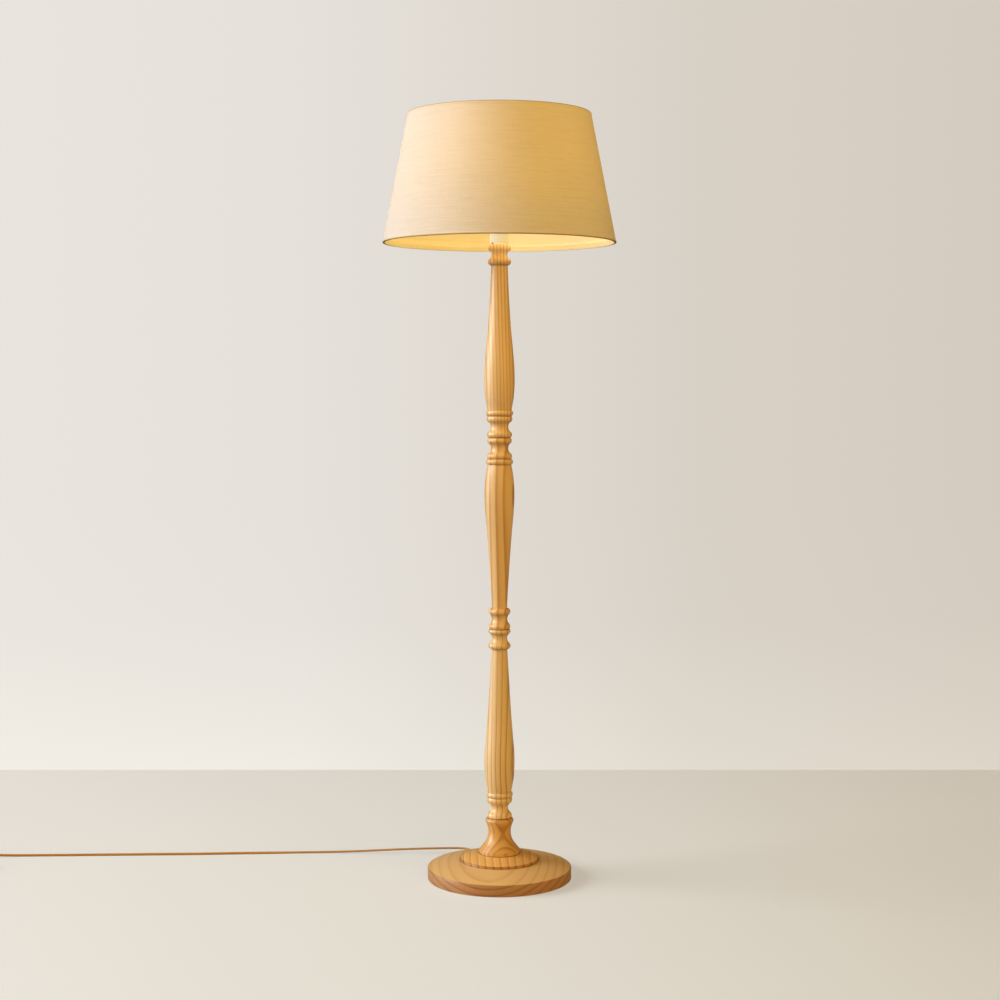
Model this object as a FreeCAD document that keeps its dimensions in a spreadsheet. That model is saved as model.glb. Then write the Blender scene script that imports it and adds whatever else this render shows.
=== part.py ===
"""Candlestick floor lamp: a turned pine column in three screwed sections on a weighted round base.

Millimetres, +Z up. The origin is on the floor, on the column's axis. +Y is the back, and the
mains cord leaves the base at the back and runs off to -X.
"""
import FreeCAD, Part
import math
import os
import re
import Sketcher

os.makedirs("parts", exist_ok=True)
doc = FreeCAD.newDocument("candlestick_floor_lamp")
V = FreeCAD.Vector
UP = V(0, 0, 1)

# ---------------------------------------------------------------- driving dimensions

SIZES = {
    # clearances
    "slip": 0.1,                    # radial, a screwed or drilled fit
    "running_gap": 0.3,             # between a piece that moves and what it passes
    # base disc, felt and ballast
    "base_across": 282.0,
    "base_lift": 0.4,               # wood above the floor, on its felt
    "base_rim_height": 22.3,
    "base_crown_rise": 13.3,        # from the rim's top edge to the flat under the plinth
    "base_crown_bulge": 1.4,
    "base_edge_round": 1.2,
    "felt_across": 250.0,
    "felt_thickness": 1.5,
    "ballast_across": 180.0,
    "ballast_thickness": 5.0,
    "ballast_screw_circle": 65.0,
    "nut_pocket_across": 40.0,
    "nut_pocket_depth": 22.0,
    # plinth disc
    "plinth_across": 152.4,
    "plinth_rim_height": 4.5,
    "plinth_height": 14.0,
    "plinth_bulge": 1.3,
    "plinth_screw_circle": 45.0,
    # wood screws
    "screw_shank_radius": 2.0,
    "screw_head_radius": 4.0,
    "screw_head_height": 2.2,
    "ballast_screw_length": 17.0,
    "plinth_screw_length": 28.0,
    "plinth_screw_sink": 9.5,       # depth of the counterbore over its head
    # hollow threaded tube, inserts, nut and washer
    "stud_radius": 5.0,
    "stud_bore_radius": 3.75,
    "stud_end_gap": 1.0,
    "wood_bore_radius": 5.3,
    "insert_radius": 7.0,
    "insert_length": 18.0,
    "tie_nut_height": 5.0,
    "tie_nut_flat_radius": 8.1,     # to its corners
    "tie_washer_radius": 14.0,
    "tie_washer_thickness": 1.5,
    "tie_tail": 1.0,                # tube standing out below the nut
    # mains cord
    "cord_radius": 2.5,
    "cord_exit_level": 11.0,
    "cord_exit_angle": 110.0,       # degrees round from +X
    "cord_hole_radius": 3.5,
    "cord_bend_radius": 10.0,       # inside the base, up into the tube
    "bush_seat_radius": 5.5,
    "bush_seat_depth": 8.0,
    "bush_flange_radius": 7.0,
    "bush_flange_thickness": 1.5,
    "bush_tail_length": 18.5,
    "bush_root_radius": 4.8,
    "bush_tip_radius": 3.2,
    # lampholder, from the top of the wood
    "cap_radius": 18.4,
    "cap_foot_radius": 12.2,
    "cap_height": 23.6,
    "cap_wall": 2.1,
    "cap_floor": 4.0,
    "cap_boss_radius": 8.0,
    "cap_boss_height": 9.0,
    "cap_notch_angle": 216.0,
    "cap_notch_width": 4.5,
    "cap_notch_height": 3.4,
    "cap_notch_depth": 5.0,
    "nipple_tail": 13.0,
    "lock_nut_height": 3.0,
    "skirt_neck_height": 6.0,
    "skirt_neck_bore": 12.8,
    "skirt_bore": 14.3,
    "skirt_thread_radius": 19.4,
    "skirt_height": 28.0,           # above the cap
    "skirt_shoulder": 1.0,
    "flange_radius": 24.0,
    "flange_thickness": 2.5,
    "contact_block_height": 5.0,
    "contact_block_sink": 2.0,      # below the cap's rim
    "terminal_spacing": 14.0,
    "terminal_head_radius": 2.0,
    "terminal_head_height": 1.8,
    "wire_radius": 0.9,
    "centre_contact_height": 2.2,
    "screw_shell_wall": 0.5,
    "screw_shell_height": 21.0,
    "shade_ring_radius": 27.0,
    "shade_ring_height": 8.0,
    # wire carrier that stands on the lampholder's flange
    "carrier_plate_thickness": 1.6,
    "carrier_plate_radius": 30.5,
    "carrier_wire_radius": 1.5,
    "carrier_ring_radius": 51.0,
    "carrier_ring_wire_radius": 2.0,
    "carrier_height": 196.0,
    "carrier_belly_radius": 46.0,
    "carrier_belly_rise": 34.0,
    # light bulb
    "bulb_thread_radius": 13.2,
    "bulb_cap_wall": 0.6,
    "bulb_tip_radius": 4.8,
    "bulb_tip_height": 1.1,
    "bulb_insulator_radius": 9.0,
    "bulb_insulator_height": 2.6,
    "bulb_cap_cone": 3.5,
    "bulb_cap_height": 22.5,
    "bulb_glass_radius": 30.0,
    "bulb_glass_wall": 1.0,
    "bulb_glass_sink": 4.0,         # into its cap
    "bulb_length": 104.0,
    # shade
    "shade_bottom_across": 450.0,
    "shade_top_across": 352.4,
    "shade_height": 245.5,
    "shade_drop": 23.3,             # from the shade's top edge down to its seat
    "shade_fabric_thickness": 0.7,
    "shade_liner_thickness": 0.5,
    "shade_trim_thickness": 0.5,
    "shade_trim_width": 4.5,
    "shade_hem_width": 10.0,
    "shade_laminate_gap": 0.05,
    "shade_wire_radius": 1.6,
    "shade_arm_radius": 1.5,
    "seat_inner_radius": 46.0,
    "seat_thickness": 1.5,
    "seat_lip_height": 7.0,
    "seat_lip_thickness": 1.0,
    "seat_lip_gap": 0.5,
    # foot switch on the cord
    "switch_x": -1112.0,
    "switch_y": 148.0,
    "switch_radius": 32.0,
    "switch_split_level": 10.0,
    "switch_top_level": 21.0,
    "switch_crown_radius": 24.0,
    "switch_wall": 2.2,
    "switch_floor": 2.0,
    "switch_cord_level": 5.0,
    "button_radius": 15.0,
    "button_flange_radius": 17.0,
    "button_flange_thickness": 1.5,
    "button_rise": 3.6,             # above the cover
    "button_edge_round": 2.0,
    "button_socket_radius": 5.2,
    "button_socket_depth": 3.0,
    "spring_radius": 4.0,
    "spring_wire_radius": 0.5,
    "spring_turns": 5.0,
    "switch_block_length": 26.0,
    "switch_block_width": 16.0,
    "switch_block_top": 8.4,
    "switch_post_offset": 24.0,
    "switch_post_radius": 3.2,
    "switch_screw_radius": 1.5,
    "sleeve_neck_radius": 3.6,
    "sleeve_flange_radius": 4.4,
    "sleeve_collar_radius": 4.6,
    "sleeve_tip_radius": 3.1,
    "sleeve_reach": 16.0,           # past the switch body
    # coil of the cord that is put away
    "coil_start_x": -1198.5,
    "coil_start_y": 92.0,
    "coil_level": 3.6,
    "coil_first_radius": 35.0,
    "coil_turn_gap": 0.8,
    "tie_band": 0.9,
    "tie_width": 6.0,
    # plug
    "plug_length": 36.0,
    "plug_width": 35.3,
    "plug_height": 13.7,
    "plug_edge_height": 6.0,
    "plug_flat_width": 24.0,
    "plug_relief_length": 22.0,
    "plug_relief_radius": 4.4,
    "plug_relief_tip": 3.1,
    "pin_radius": 2.0,
    "pin_length": 19.0,
    "pin_root": 7.0,
    "pin_spacing": 19.0,
}

# Turned outlines, from the bottom of each piece: heights, and diameters across the wood.
# A bead or a cove is an arc: its crest, then its end. A sweep is a smooth curve through its marks.
TURNINGS = {
    "foot": (
        ("base", "start", ((0.0, 79.6),)),
        ("rim", "line", ((6.5, 79.8),)),
        ("flare", "sweep", ((13.0, 69.4), (21.0, 56.7), (30.0, 48.1), (42.0, 44.1), (53.0, 47.4), (61.0, 53.2))),
        ("lip", "arc", ((65.2, 54.8), (69.0, 49.6))),
        ("joint", "line", ((70.5, 46.8),)),
    ),
    "lower": (
        ("joint", "start", ((0.0, 46.8),)),
        ("foot_bead", "arc", ((4.7, 48.2), (9.2, 44.0))),
        ("foot_cove", "arc", ((19.5, 33.3), (28.6, 43.8))),
        ("ring_bead", "arc", ((34.6, 50.0), (40.4, 47.2))),
        ("shoulder_bead", "arc", ((45.6, 52.0), (51.0, 45.8))),
        ("body", "sweep", ((66.0, 52.1), (84.0, 57.0), (109.0, 59.1), (132.0, 57.6), (160.0, 53.0),
                           (200.0, 46.6), (240.0, 41.3), (285.0, 36.0), (329.5, 30.8))),
        ("neck", "line", ((332.4, 31.0),)),
        ("neck_bead", "arc", ((338.7, 43.4), (344.3, 38.2))),
        ("neck_cove", "arc", ((354.2, 30.3), (362.6, 37.0))),
        ("head_bead", "arc", ((367.6, 43.4), (372.0, 38.6))),
    ),
    "middle": (
        ("joint", "start", ((0.0, 38.6),)),
        ("foot_bead", "arc", ((6.0, 41.9), (10.8, 36.8))),
        ("foot_cove", "arc", ((20.0, 30.4), (28.6, 37.0))),
        ("ring_bead", "arc", ((34.2, 42.7), (40.8, 31.4))),
        ("neck", "line", ((41.6, 29.4),)),
        ("body", "sweep", ((75.0, 32.7), (110.0, 37.0), (150.0, 42.3), (190.0, 48.4), (225.0, 54.6),
                           (258.0, 58.0), (285.0, 56.2), (304.0, 52.2), (320.5, 45.8))),
        ("shoulder_bead", "arc", ((326.4, 52.7), (332.0, 44.8))),
        ("small_bead", "arc", ((337.2, 49.1), (342.5, 43.4))),
        ("head_cove", "arc", ((352.8, 33.9), (361.0, 40.2))),
        ("head_bead", "arc", ((367.3, 47.8), (373.0, 42.0))),
    ),
    "upper": (
        ("joint", "start", ((0.0, 42.0),)),
        ("foot_bead", "arc", ((5.8, 48.6), (11.2, 43.2))),
        ("foot_cove", "arc", ((21.8, 34.4), (29.2, 40.8))),
        ("ring_bead", "arc", ((37.0, 50.0), (41.9, 45.9))),
        ("shoulder_bead", "arc", ((47.6, 53.1), (53.0, 46.8))),
        ("body", "sweep", ((62.0, 49.8), (75.0, 54.6), (95.0, 58.0), (115.0, 58.9), (140.0, 57.3), (175.0, 51.2),
                           (215.0, 44.0), (260.0, 38.1), (300.0, 34.2), (331.0, 32.0))),
        ("neck_bead", "arc", ((338.4, 44.6), (345.2, 37.2))),
        ("neck_cove", "arc", ((352.2, 30.2), (359.0, 36.8))),
        ("head_bead", "arc", ((364.7, 44.8), (369.8, 39.8))),
        ("head", "line", ((371.4, 34.8),)),
    ),
}

for piece, outline in TURNINGS.items():
    for stroke, _, marks in outline:
        for number, (height, across) in enumerate(marks, 1):
            SIZES[f"{piece}_{stroke}_{number}_height"] = height
            SIZES[f"{piece}_{stroke}_{number}_across"] = across

sheet = doc.addObject("Spreadsheet::Sheet", "sizes")
names_written = set()


def write_sizes(values):
    """Put named plain numbers in the sheet, one row each."""
    for name, value in values.items():
        row = len(names_written) + 1
        sheet.set(f"A{row}", name)
        sheet.set(f"B{row}", repr(float(value)))
        sheet.setAlias(f"B{row}", name)
        names_written.add(name)
    doc.recompute()


def mm(name):
    """A named size, read from the sheet."""
    return float(sheet.get(name))


def formula(text):
    """An expression on sheet names, as the document writes it."""
    return re.sub(r"[a-z_][a-z_0-9]*", lambda w: "sizes." + w.group() if w.group() in names_written else w.group(), text)


write_sizes(SIZES)

# ---------------------------------------------------------------- sizes that follow from those

LENGTHS = {piece: outline[-1][2][-1][0] for piece, outline in TURNINGS.items()}
rim_top = mm("base_lift") + mm("base_rim_height")
crown_top = rim_top + mm("base_crown_rise")
foot_bottom = crown_top + mm("plinth_height")
lower_bottom = foot_bottom + LENGTHS["foot"]
middle_bottom = lower_bottom + LENGTHS["lower"]
upper_bottom = middle_bottom + LENGTHS["middle"]
wood_top = upper_bottom + LENGTHS["upper"]
ballast_roof = mm("felt_thickness") + mm("ballast_thickness")
pocket_roof = ballast_roof + mm("nut_pocket_depth")
tie_nut_top = pocket_roof - mm("tie_washer_thickness")
tie_bottom = tie_nut_top - mm("tie_nut_height") - mm("tie_tail")
cap_top = wood_top + mm("cap_height")
flange_bottom = cap_top + mm("skirt_shoulder")
flange_top = flange_bottom + mm("flange_thickness")
block_bottom = cap_top - mm("contact_block_sink")
block_top = block_bottom + mm("contact_block_height")
bulb_bottom = block_top + mm("centre_contact_height") + mm("running_gap")
insulator_bottom = bulb_bottom + mm("bulb_tip_height")
insulator_top = insulator_bottom + mm("bulb_insulator_height")
bulb_cap_bottom = insulator_top + mm("running_gap")
bulb_cap_top = bulb_cap_bottom + mm("bulb_cap_height")
bulb_top = bulb_bottom + mm("bulb_length")
bulb_centre = bulb_top - mm("bulb_glass_radius")
carrier_top = flange_top + mm("carrier_height")
seat_bottom = carrier_top + mm("running_gap")
shade_top = seat_bottom + mm("seat_thickness") + mm("shade_drop")
shade_bottom = shade_top - mm("shade_height")
cover_underside = mm("switch_top_level") - mm("switch_wall")
button_flange_top = cover_underside - mm("running_gap")
button_bottom = button_flange_top - mm("button_flange_thickness")
button_top = mm("switch_top_level") + mm("button_rise")
skirt_bottom = cap_top - mm("skirt_neck_height")
carrier_plate_top = flange_top + mm("carrier_plate_thickness")

write_sizes({
    "floor": 0.0, "rim_top": rim_top, "crown_top": crown_top, "foot_bottom": foot_bottom,
    "lower_bottom": lower_bottom, "middle_bottom": middle_bottom, "upper_bottom": upper_bottom,
    "wood_top": wood_top, "ballast_roof": ballast_roof, "pocket_roof": pocket_roof,
    "tie_nut_top": tie_nut_top, "tie_bottom": tie_bottom, "cap_top": cap_top,
    "flange_bottom": flange_bottom, "flange_top": flange_top, "block_bottom": block_bottom,
    "block_top": block_top, "bulb_bottom": bulb_bottom, "insulator_bottom": insulator_bottom,
    "insulator_top": insulator_top, "bulb_cap_bottom": bulb_cap_bottom, "bulb_cap_top": bulb_cap_top,
    "bulb_top": bulb_top, "bulb_centre": bulb_centre, "carrier_top": carrier_top,
    "seat_bottom": seat_bottom, "shade_top": shade_top, "shade_bottom": shade_bottom,
    "cover_underside": cover_underside, "button_flange_top": button_flange_top,
    "button_bottom": button_bottom, "button_top": button_top, "skirt_bottom": skirt_bottom,
    "carrier_plate_top": carrier_plate_top,
})

nodes = []


def node(made, label):
    """Name a finished sub-part and keep it for the hand-over."""
    made.Label = label
    nodes.append(made)
    return made


# ---------------------------------------------------------------- modelling helpers

def bind(made, **properties):
    for name, text in properties.items():
        made.setExpression(name, formula(text))


def stand(made, level, x="floor", y="floor"):
    """Bind a primitive's place to the sheet."""
    made.setExpression("Placement.Base.x", formula(x))
    made.setExpression("Placement.Base.y", formula(y))
    made.setExpression("Placement.Base.z", formula(level))
    return made


def cylinder(name, radius, height, level, x="floor", y="floor"):
    made = doc.addObject("Part::Cylinder", name)
    bind(made, Radius=radius, Height=height)
    return stand(made, level, x, y)


def cone(name, low_radius, high_radius, height, level, x="floor", y="floor"):
    made = doc.addObject("Part::Cone", name)
    bind(made, Radius1=low_radius, Radius2=high_radius, Height=height)
    return stand(made, level, x, y)


def along(name, radius, length, start, direction):
    """A cylinder from a point in a given direction."""
    made = doc.addObject("Part::Cylinder", name)
    bind(made, Radius=radius, Height=length)
    made.Placement = FreeCAD.Placement(start, FreeCAD.Rotation(UP, direction))
    return made


def cut(name, base, *tools):
    for number, tool in enumerate(tools):
        made = doc.addObject("Part::Cut", f"{name}_cut_{number}")
        made.Base = base
        made.Tool = tool
        base = made
    return base


def fuse(name, *members):
    made = doc.addObject("Part::MultiFuse", name)
    made.Shapes = list(members)
    return made


def together(name, members):
    """Identical pieces, as separate solids of one node."""
    made = doc.addObject("Part::Compound", name)
    made.Links = members
    return made


def tube(name, outer, inner, height, level):
    body = cylinder(f"{name}_outside", outer, height, level)
    bore = cylinder(f"{name}_bore", inner, f"{height} + 2 * slip", f"{level} - slip")
    return cut(name, body, bore)


def plane_of(body, role):
    return next(f for f in body.Origin.OriginFeatures if f.Role == role)


def outline_sketch(body, corners, bends, role="XZ_Plane"):
    """A closed outline on one of the body's own planes. A corner is two named sizes or formulas with
    their values; bends holds the marks between a corner and the next: one for an arc, more for a sweep."""
    sketch = body.newObject("Sketcher::SketchObject", f"{body.Name}_outline")
    sketch.AttachmentSupport = [(plane_of(body, role), "")]
    sketch.MapMode = "FlatFace"
    count = len(corners)
    points = [V(c[0][0], c[1][0], 0) for c in corners]
    ends = []
    for i in range(count):
        a, b = points[i], points[(i + 1) % count]
        marks = [V(x, z, 0) for x, z in bends.get(i, ())]
        if not marks:
            edge = Part.LineSegment(a, b)
        elif len(marks) == 1:
            edge = Part.ArcOfCircle(a, marks[0], b)
        else:
            edge = Part.BSplineCurve()
            edge.interpolate([a] + marks + [b])
        sketch.addGeometry(edge, False)
        starts_at_a = sketch.getPoint(i, 1).distanceToPoint(a) < sketch.getPoint(i, 2).distanceToPoint(a)
        ends.append((1, 2) if starts_at_a else (2, 1))
    for i in range(count):
        after = (i + 1) % count
        sketch.addConstraint(Sketcher.Constraint("Coincident", i, ends[i][1], after, ends[after][0]))
    for i, corner in enumerate(corners):
        for kind, (value, text), axis in (("DistanceX", corner[0], -2), ("DistanceY", corner[1], -1)):
            if abs(value) < 1e-7:
                sketch.addConstraint(Sketcher.Constraint("PointOnObject", i, ends[i][0], axis))
            else:
                number = sketch.addConstraint(Sketcher.Constraint(kind, -1, 1, i, ends[i][0], value))
                sketch.setExpression(f"Constraints[{number}]", formula(text))
    return sketch


def spin(body, sketch):
    turn = body.newObject("PartDesign::Revolution", f"{body.Name}_turned")
    turn.Profile = sketch
    turn.ReferenceAxis = (sketch, ["V_Axis"])
    turn.Angle = 360.0
    sketch.Visibility = False
    return body


def size(name):
    """A corner's coordinate that is one named size."""
    return mm(name), name


def axis():
    return 0.0, "floor"


def lathe(name, corners, bends=None, x="floor", y="floor", level="floor"):
    """A piece turned about its own vertical axis."""
    body = doc.addObject("PartDesign::Body", name)
    sketch = outline_sketch(body, corners, bends or {})
    spin(body, sketch)
    return stand(body, level, x, y)


def polar(radius, degrees, level=0.0):
    turn = math.radians(degrees)
    return V(radius * math.cos(turn), radius * math.sin(turn), level)


def round_mark(centre_r, centre_z, radius, degrees):
    """A point on a rounded edge, for the middle of its arc."""
    turn = math.radians(degrees)
    return centre_r + radius * math.cos(turn), centre_z + radius * math.sin(turn)


# ---------------------------------------------------------------- the turned wood

def turned_wood(piece, label, level, inner):
    """A turned piece from its strokes, closed down its bore by the inner corners."""
    corners, bends = [], {}
    for stroke, kind, marks in TURNINGS[piece]:
        named = [f"{piece}_{stroke}_{n}" for n in range(1, len(marks) + 1)]
        if kind in ("arc", "sweep"):
            bends[len(corners) - 1] = [(mm(f"{n}_across") / 2, mm(f"{n}_height")) for n in named[:-1]]
        end = named[-1]
        corners.append(((mm(f"{end}_across") / 2, f"{end}_across / 2"), size(f"{end}_height")))
    return node(lathe(label, corners + inner, bends, level=level), label)


def top_of(piece):
    stroke, _, marks = TURNINGS[piece][-1]
    return f"{piece}_{stroke}_{len(marks)}_height"


def sum_of(text, value):
    return value, text


def section_bore(piece):
    """From the top down: insert seat, bore, insert seat."""
    top = top_of(piece)
    seat = sum_of("insert_radius + slip", mm("insert_radius") + mm("slip"))
    bore = size("wood_bore_radius")
    upper = sum_of(f"{top} - insert_length", mm(top) - mm("insert_length"))
    return [(seat, size(top)), (seat, upper), (bore, upper), (bore, size("insert_length")),
            (seat, size("insert_length")), (seat, axis())]


foot_bore = [(size("wood_bore_radius"), size(top_of("foot"))), (size("wood_bore_radius"), axis())]
turned_wood("foot", "flared_foot", "foot_bottom", foot_bore)
turned_wood("lower", "lower_column", "lower_bottom", section_bore("lower"))
turned_wood("middle", "middle_column", "middle_bottom", section_bore("middle"))
turned_wood("upper", "upper_column", "upper_bottom", section_bore("upper"))

# ---------------------------------------------------------------- base disc, plinth, ballast, felt

edge = mm("base_edge_round")
rim = mm("base_across") / 2
seat_radius = mm("plinth_across") / 2 + 1.0
crown_mark = ((rim - edge + seat_radius) / 2, (rim_top + crown_top) / 2 + mm("base_crown_bulge"))
write_sizes({
    "base_rim": rim, "base_rim_inner": rim - edge, "rim_edge": rim_top - edge, "crown_radius": seat_radius,
    "felt_seat": mm("felt_across") / 2 + mm("slip"), "ballast_seat": mm("ballast_across") / 2 + mm("slip"),
    "pocket_radius": mm("nut_pocket_across") / 2, "lower_edge": mm("base_lift") + edge,
    "plinth_radius": mm("plinth_across") / 2, "plinth_edge": mm("plinth_across") / 2 - edge / 2,
    "plinth_low_edge": crown_top + edge / 2, "plinth_rim_top": crown_top + mm("plinth_rim_height"),
    "plinth_flat": mm("foot_base_1_across") / 2 + 1.0,
})

base_corners = [
    (size("wood_bore_radius"), size("pocket_roof")),
    (size("pocket_radius"), size("pocket_roof")),
    (size("pocket_radius"), size("ballast_roof")),
    (size("ballast_seat"), size("ballast_roof")),
    (size("ballast_seat"), size("felt_thickness")),
    (size("felt_seat"), size("felt_thickness")),
    (size("felt_seat"), size("base_lift")),
    (size("base_rim_inner"), size("base_lift")),
    (size("base_rim"), size("lower_edge")),
    (size("base_rim"), size("rim_edge")),
    (size("base_rim_inner"), size("rim_top")),
    (size("crown_radius"), size("crown_top")),
    (size("wood_bore_radius"), size("crown_top")),
]
base_bends = {
    7: [round_mark(rim - edge, mm("base_lift") + edge, edge, -45)],
    9: [round_mark(rim - edge, rim_top - edge, edge, 45)],
    10: [crown_mark],
}
base_blank = lathe("base_blank", base_corners, base_bends)
exit_turn = mm("cord_exit_angle")
outward = polar(1.0, exit_turn)
exit_level = mm("cord_exit_level")
cord_hole = along("cord_hole", "cord_hole_radius", "base_rim",
                  polar(mm("pocket_radius") / 2, exit_turn, exit_level), outward)
bush_seat = along("bush_seat", "bush_seat_radius + slip", "bush_seat_depth + 5",
                  polar(rim - mm("bush_seat_depth"), exit_turn, exit_level), outward)
drillings = [cord_hole, bush_seat]

BALLAST_SCREWS = [exit_turn + 45 + 90 * k for k in range(4)]
PLINTH_SCREWS = [exit_turn + 60 + 120 * k for k in range(3)]


def spot(circle, degrees):
    """A place on a circle of screws, as two formulas of its radius."""
    turn = math.radians(degrees)
    return f"{circle} * {math.cos(turn):.9f}", f"{circle} * {math.sin(turn):.9f}"


def wood_screw(name, length, level, x, y, grow="0"):
    """A countersunk screw, head down. Grown by the slip it is the hole for one."""
    head = cone(f"{name}_head", f"screw_head_radius + {grow}", f"screw_shank_radius + {grow}",
                "screw_head_height", level, x, y)
    shank = cylinder(f"{name}_shank", f"screw_shank_radius + {grow}", length, level, x, y)
    return fuse(name, head, shank)


ballast_screws, ballast_holes = [], []
for number, turn in enumerate(BALLAST_SCREWS):
    x, y = spot("ballast_screw_circle", turn)
    ballast_screws.append(wood_screw(f"ballast_screw_{number}", "ballast_screw_length", "felt_thickness", x, y))
    ballast_holes.append(wood_screw(f"ballast_hole_{number}", "ballast_screw_length + slip", "felt_thickness", x, y, "slip"))
    drillings.append(cylinder(f"ballast_pilot_{number}", "screw_shank_radius + slip",
                              "ballast_screw_length - ballast_thickness + slip", "ballast_roof", x, y))
plinth_screws, plinth_pilots = [], []
for number, turn in enumerate(PLINTH_SCREWS):
    x, y = spot("plinth_screw_circle", turn)
    level = "ballast_roof + plinth_screw_sink"
    plinth_screws.append(wood_screw(f"plinth_screw_{number}", "plinth_screw_length", level, x, y))
    drillings.append(wood_screw(f"plinth_hole_{number}", "plinth_screw_length", level, x, y, "slip"))
    drillings.append(cylinder(f"plinth_counterbore_{number}", "screw_head_radius + 2 * slip",
                              "plinth_screw_sink", "ballast_roof", x, y))
    plinth_pilots.append(cylinder(f"plinth_pilot_{number}", "screw_shank_radius + slip",
                                  "plinth_screw_length + slip", level, x, y))

node(cut("base_disc", base_blank, *drillings), "base_disc")

plinth_blank = lathe("plinth_blank", [
    (size("wood_bore_radius"), size("crown_top")),
    (size("plinth_edge"), size("crown_top")),
    (size("plinth_radius"), size("plinth_low_edge")),
    (size("plinth_radius"), size("plinth_rim_top")),
    (size("plinth_flat"), size("foot_bottom")),
    (size("wood_bore_radius"), size("foot_bottom")),
], {3: [((mm("plinth_radius") + mm("plinth_flat")) / 2,
         (mm("plinth_rim_top") + foot_bottom) / 2 + mm("plinth_bulge"))]})
node(cut("plinth_disc", plinth_blank, *plinth_pilots), "plinth_disc")
node(together("ballast_screws", ballast_screws), "ballast_screws")
node(together("plinth_screws", plinth_screws), "plinth_screws")

ballast_blank = tube("ballast_blank", "ballast_across / 2", "pocket_radius + 2", "ballast_thickness", "felt_thickness")
node(cut("ballast_plate", ballast_blank, *ballast_holes), "ballast_plate")
node(cylinder("felt_pad", "felt_across / 2", "felt_thickness", "floor"), "felt_pad")

# ---------------------------------------------------------------- threaded tubes, inserts, nut, washer

tie_top = "lower_bottom + insert_length - stud_end_gap"
node(tube("tie_tube", "stud_radius", "stud_bore_radius", f"{tie_top} - tie_bottom", "tie_bottom"), "tie_tube")
node(tube("tie_washer", "tie_washer_radius", "stud_radius + slip", "tie_washer_thickness", "tie_nut_top"), "tie_washer")


def hex_nut(name, corner_radius, height, level):
    prism = doc.addObject("Part::Prism", f"{name}_hexagon")
    prism.Polygon = 6
    bind(prism, Circumradius=corner_radius, Height=height)
    stand(prism, level)
    bore = cylinder(f"{name}_bore", "stud_radius + slip", f"{height} + 2 * slip", f"{level} - slip")
    return cut(name, prism, bore)


node(hex_nut("tie_nut", "tie_nut_flat_radius", "tie_nut_height", "tie_nut_top - tie_nut_height"), "tie_nut")


def insert(name, level):
    return tube(name, "insert_radius", "stud_radius + slip", "insert_length", level)


inserts = []
for piece in ("lower", "middle", "upper"):
    inserts.append(insert(f"{piece}_foot_insert", f"{piece}_bottom"))
    inserts.append(insert(f"{piece}_head_insert", f"{piece}_bottom + {top_of(piece)} - insert_length"))
node(together("threaded_inserts", inserts), "threaded_inserts")

reach = "2 * (insert_length - stud_end_gap)"
studs = [tube(f"{piece}_joint_stud", "stud_radius", "stud_bore_radius", reach,
              f"{piece}_bottom - insert_length + stud_end_gap") for piece in ("middle", "upper")]
node(together("joint_studs", studs), "joint_studs")

nipple_bottom = "wood_top - insert_length + stud_end_gap"
node(tube("holder_nipple", "stud_radius", "stud_bore_radius",
          "insert_length - stud_end_gap + nipple_tail", nipple_bottom), "holder_nipple")

# ---------------------------------------------------------------- lampholder

cap_round = mm("cap_radius") - mm("cap_foot_radius")
write_sizes({
    "cap_round_top": wood_top + cap_round, "cap_bore": mm("stud_radius") + mm("slip"),
    "cap_inner": mm("cap_radius") - mm("cap_wall"), "cap_floor_top": wood_top + mm("cap_floor"),
    "cap_boss_top": wood_top + mm("cap_boss_height"),
    "skirt_neck_radius": mm("cap_radius") - mm("cap_wall") - mm("slip"),
    "skirt_top": cap_top + mm("skirt_height"), "block_radius": mm("skirt_bore") - mm("slip"),
    "shell_inner": mm("skirt_bore") - mm("slip") - mm("screw_shell_wall"),
})
cap_blank = lathe("cap_blank", [
    (size("cap_bore"), size("wood_top")),
    (size("cap_foot_radius"), size("wood_top")),
    (size("cap_radius"), size("cap_round_top")),
    (size("cap_radius"), size("cap_top")),
    (size("cap_inner"), size("cap_top")),
    (size("cap_inner"), size("cap_floor_top")),
    (size("cap_boss_radius"), size("cap_floor_top")),
    (size("cap_boss_radius"), size("cap_boss_top")),
    (size("cap_bore"), size("cap_boss_top")),
], {1: [round_mark(mm("cap_foot_radius"), wood_top + cap_round, cap_round, -45)]})
notch = doc.addObject("Part::Box", "cap_notch")
bind(notch, Length="cap_notch_depth", Width="cap_notch_width", Height="cap_notch_height + slip")
notch_turn = mm("cap_notch_angle")
notch_start = polar(mm("cap_radius") - mm("cap_notch_depth") + 1.0, notch_turn, wood_top - mm("slip"))
notch_side = polar(mm("cap_notch_width") / 2, notch_turn - 90)
notch.Placement = FreeCAD.Placement(notch_start + notch_side, FreeCAD.Rotation(UP, notch_turn))
node(cut("holder_cap", cap_blank, notch), "holder_cap")

node(hex_nut("nipple_lock_nut", "cap_boss_radius - 2 * slip", "lock_nut_height", "cap_boss_top"), "nipple_lock_nut")

node(lathe("holder_skirt", [
    (size("skirt_neck_bore"), size("skirt_bottom")),
    (size("skirt_neck_radius"), size("skirt_bottom")),
    (size("skirt_neck_radius"), size("cap_top")),
    (size("cap_radius"), size("cap_top")),
    (size("cap_radius"), size("flange_bottom")),
    (size("flange_radius"), size("flange_bottom")),
    (size("flange_radius"), size("flange_top")),
    (size("skirt_thread_radius"), size("flange_top")),
    (size("skirt_thread_radius"), size("skirt_top")),
    (size("skirt_bore"), size("skirt_top")),
    (size("skirt_bore"), size("block_bottom")),
    (size("skirt_neck_bore"), size("block_bottom")),
]), "holder_skirt")

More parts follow.
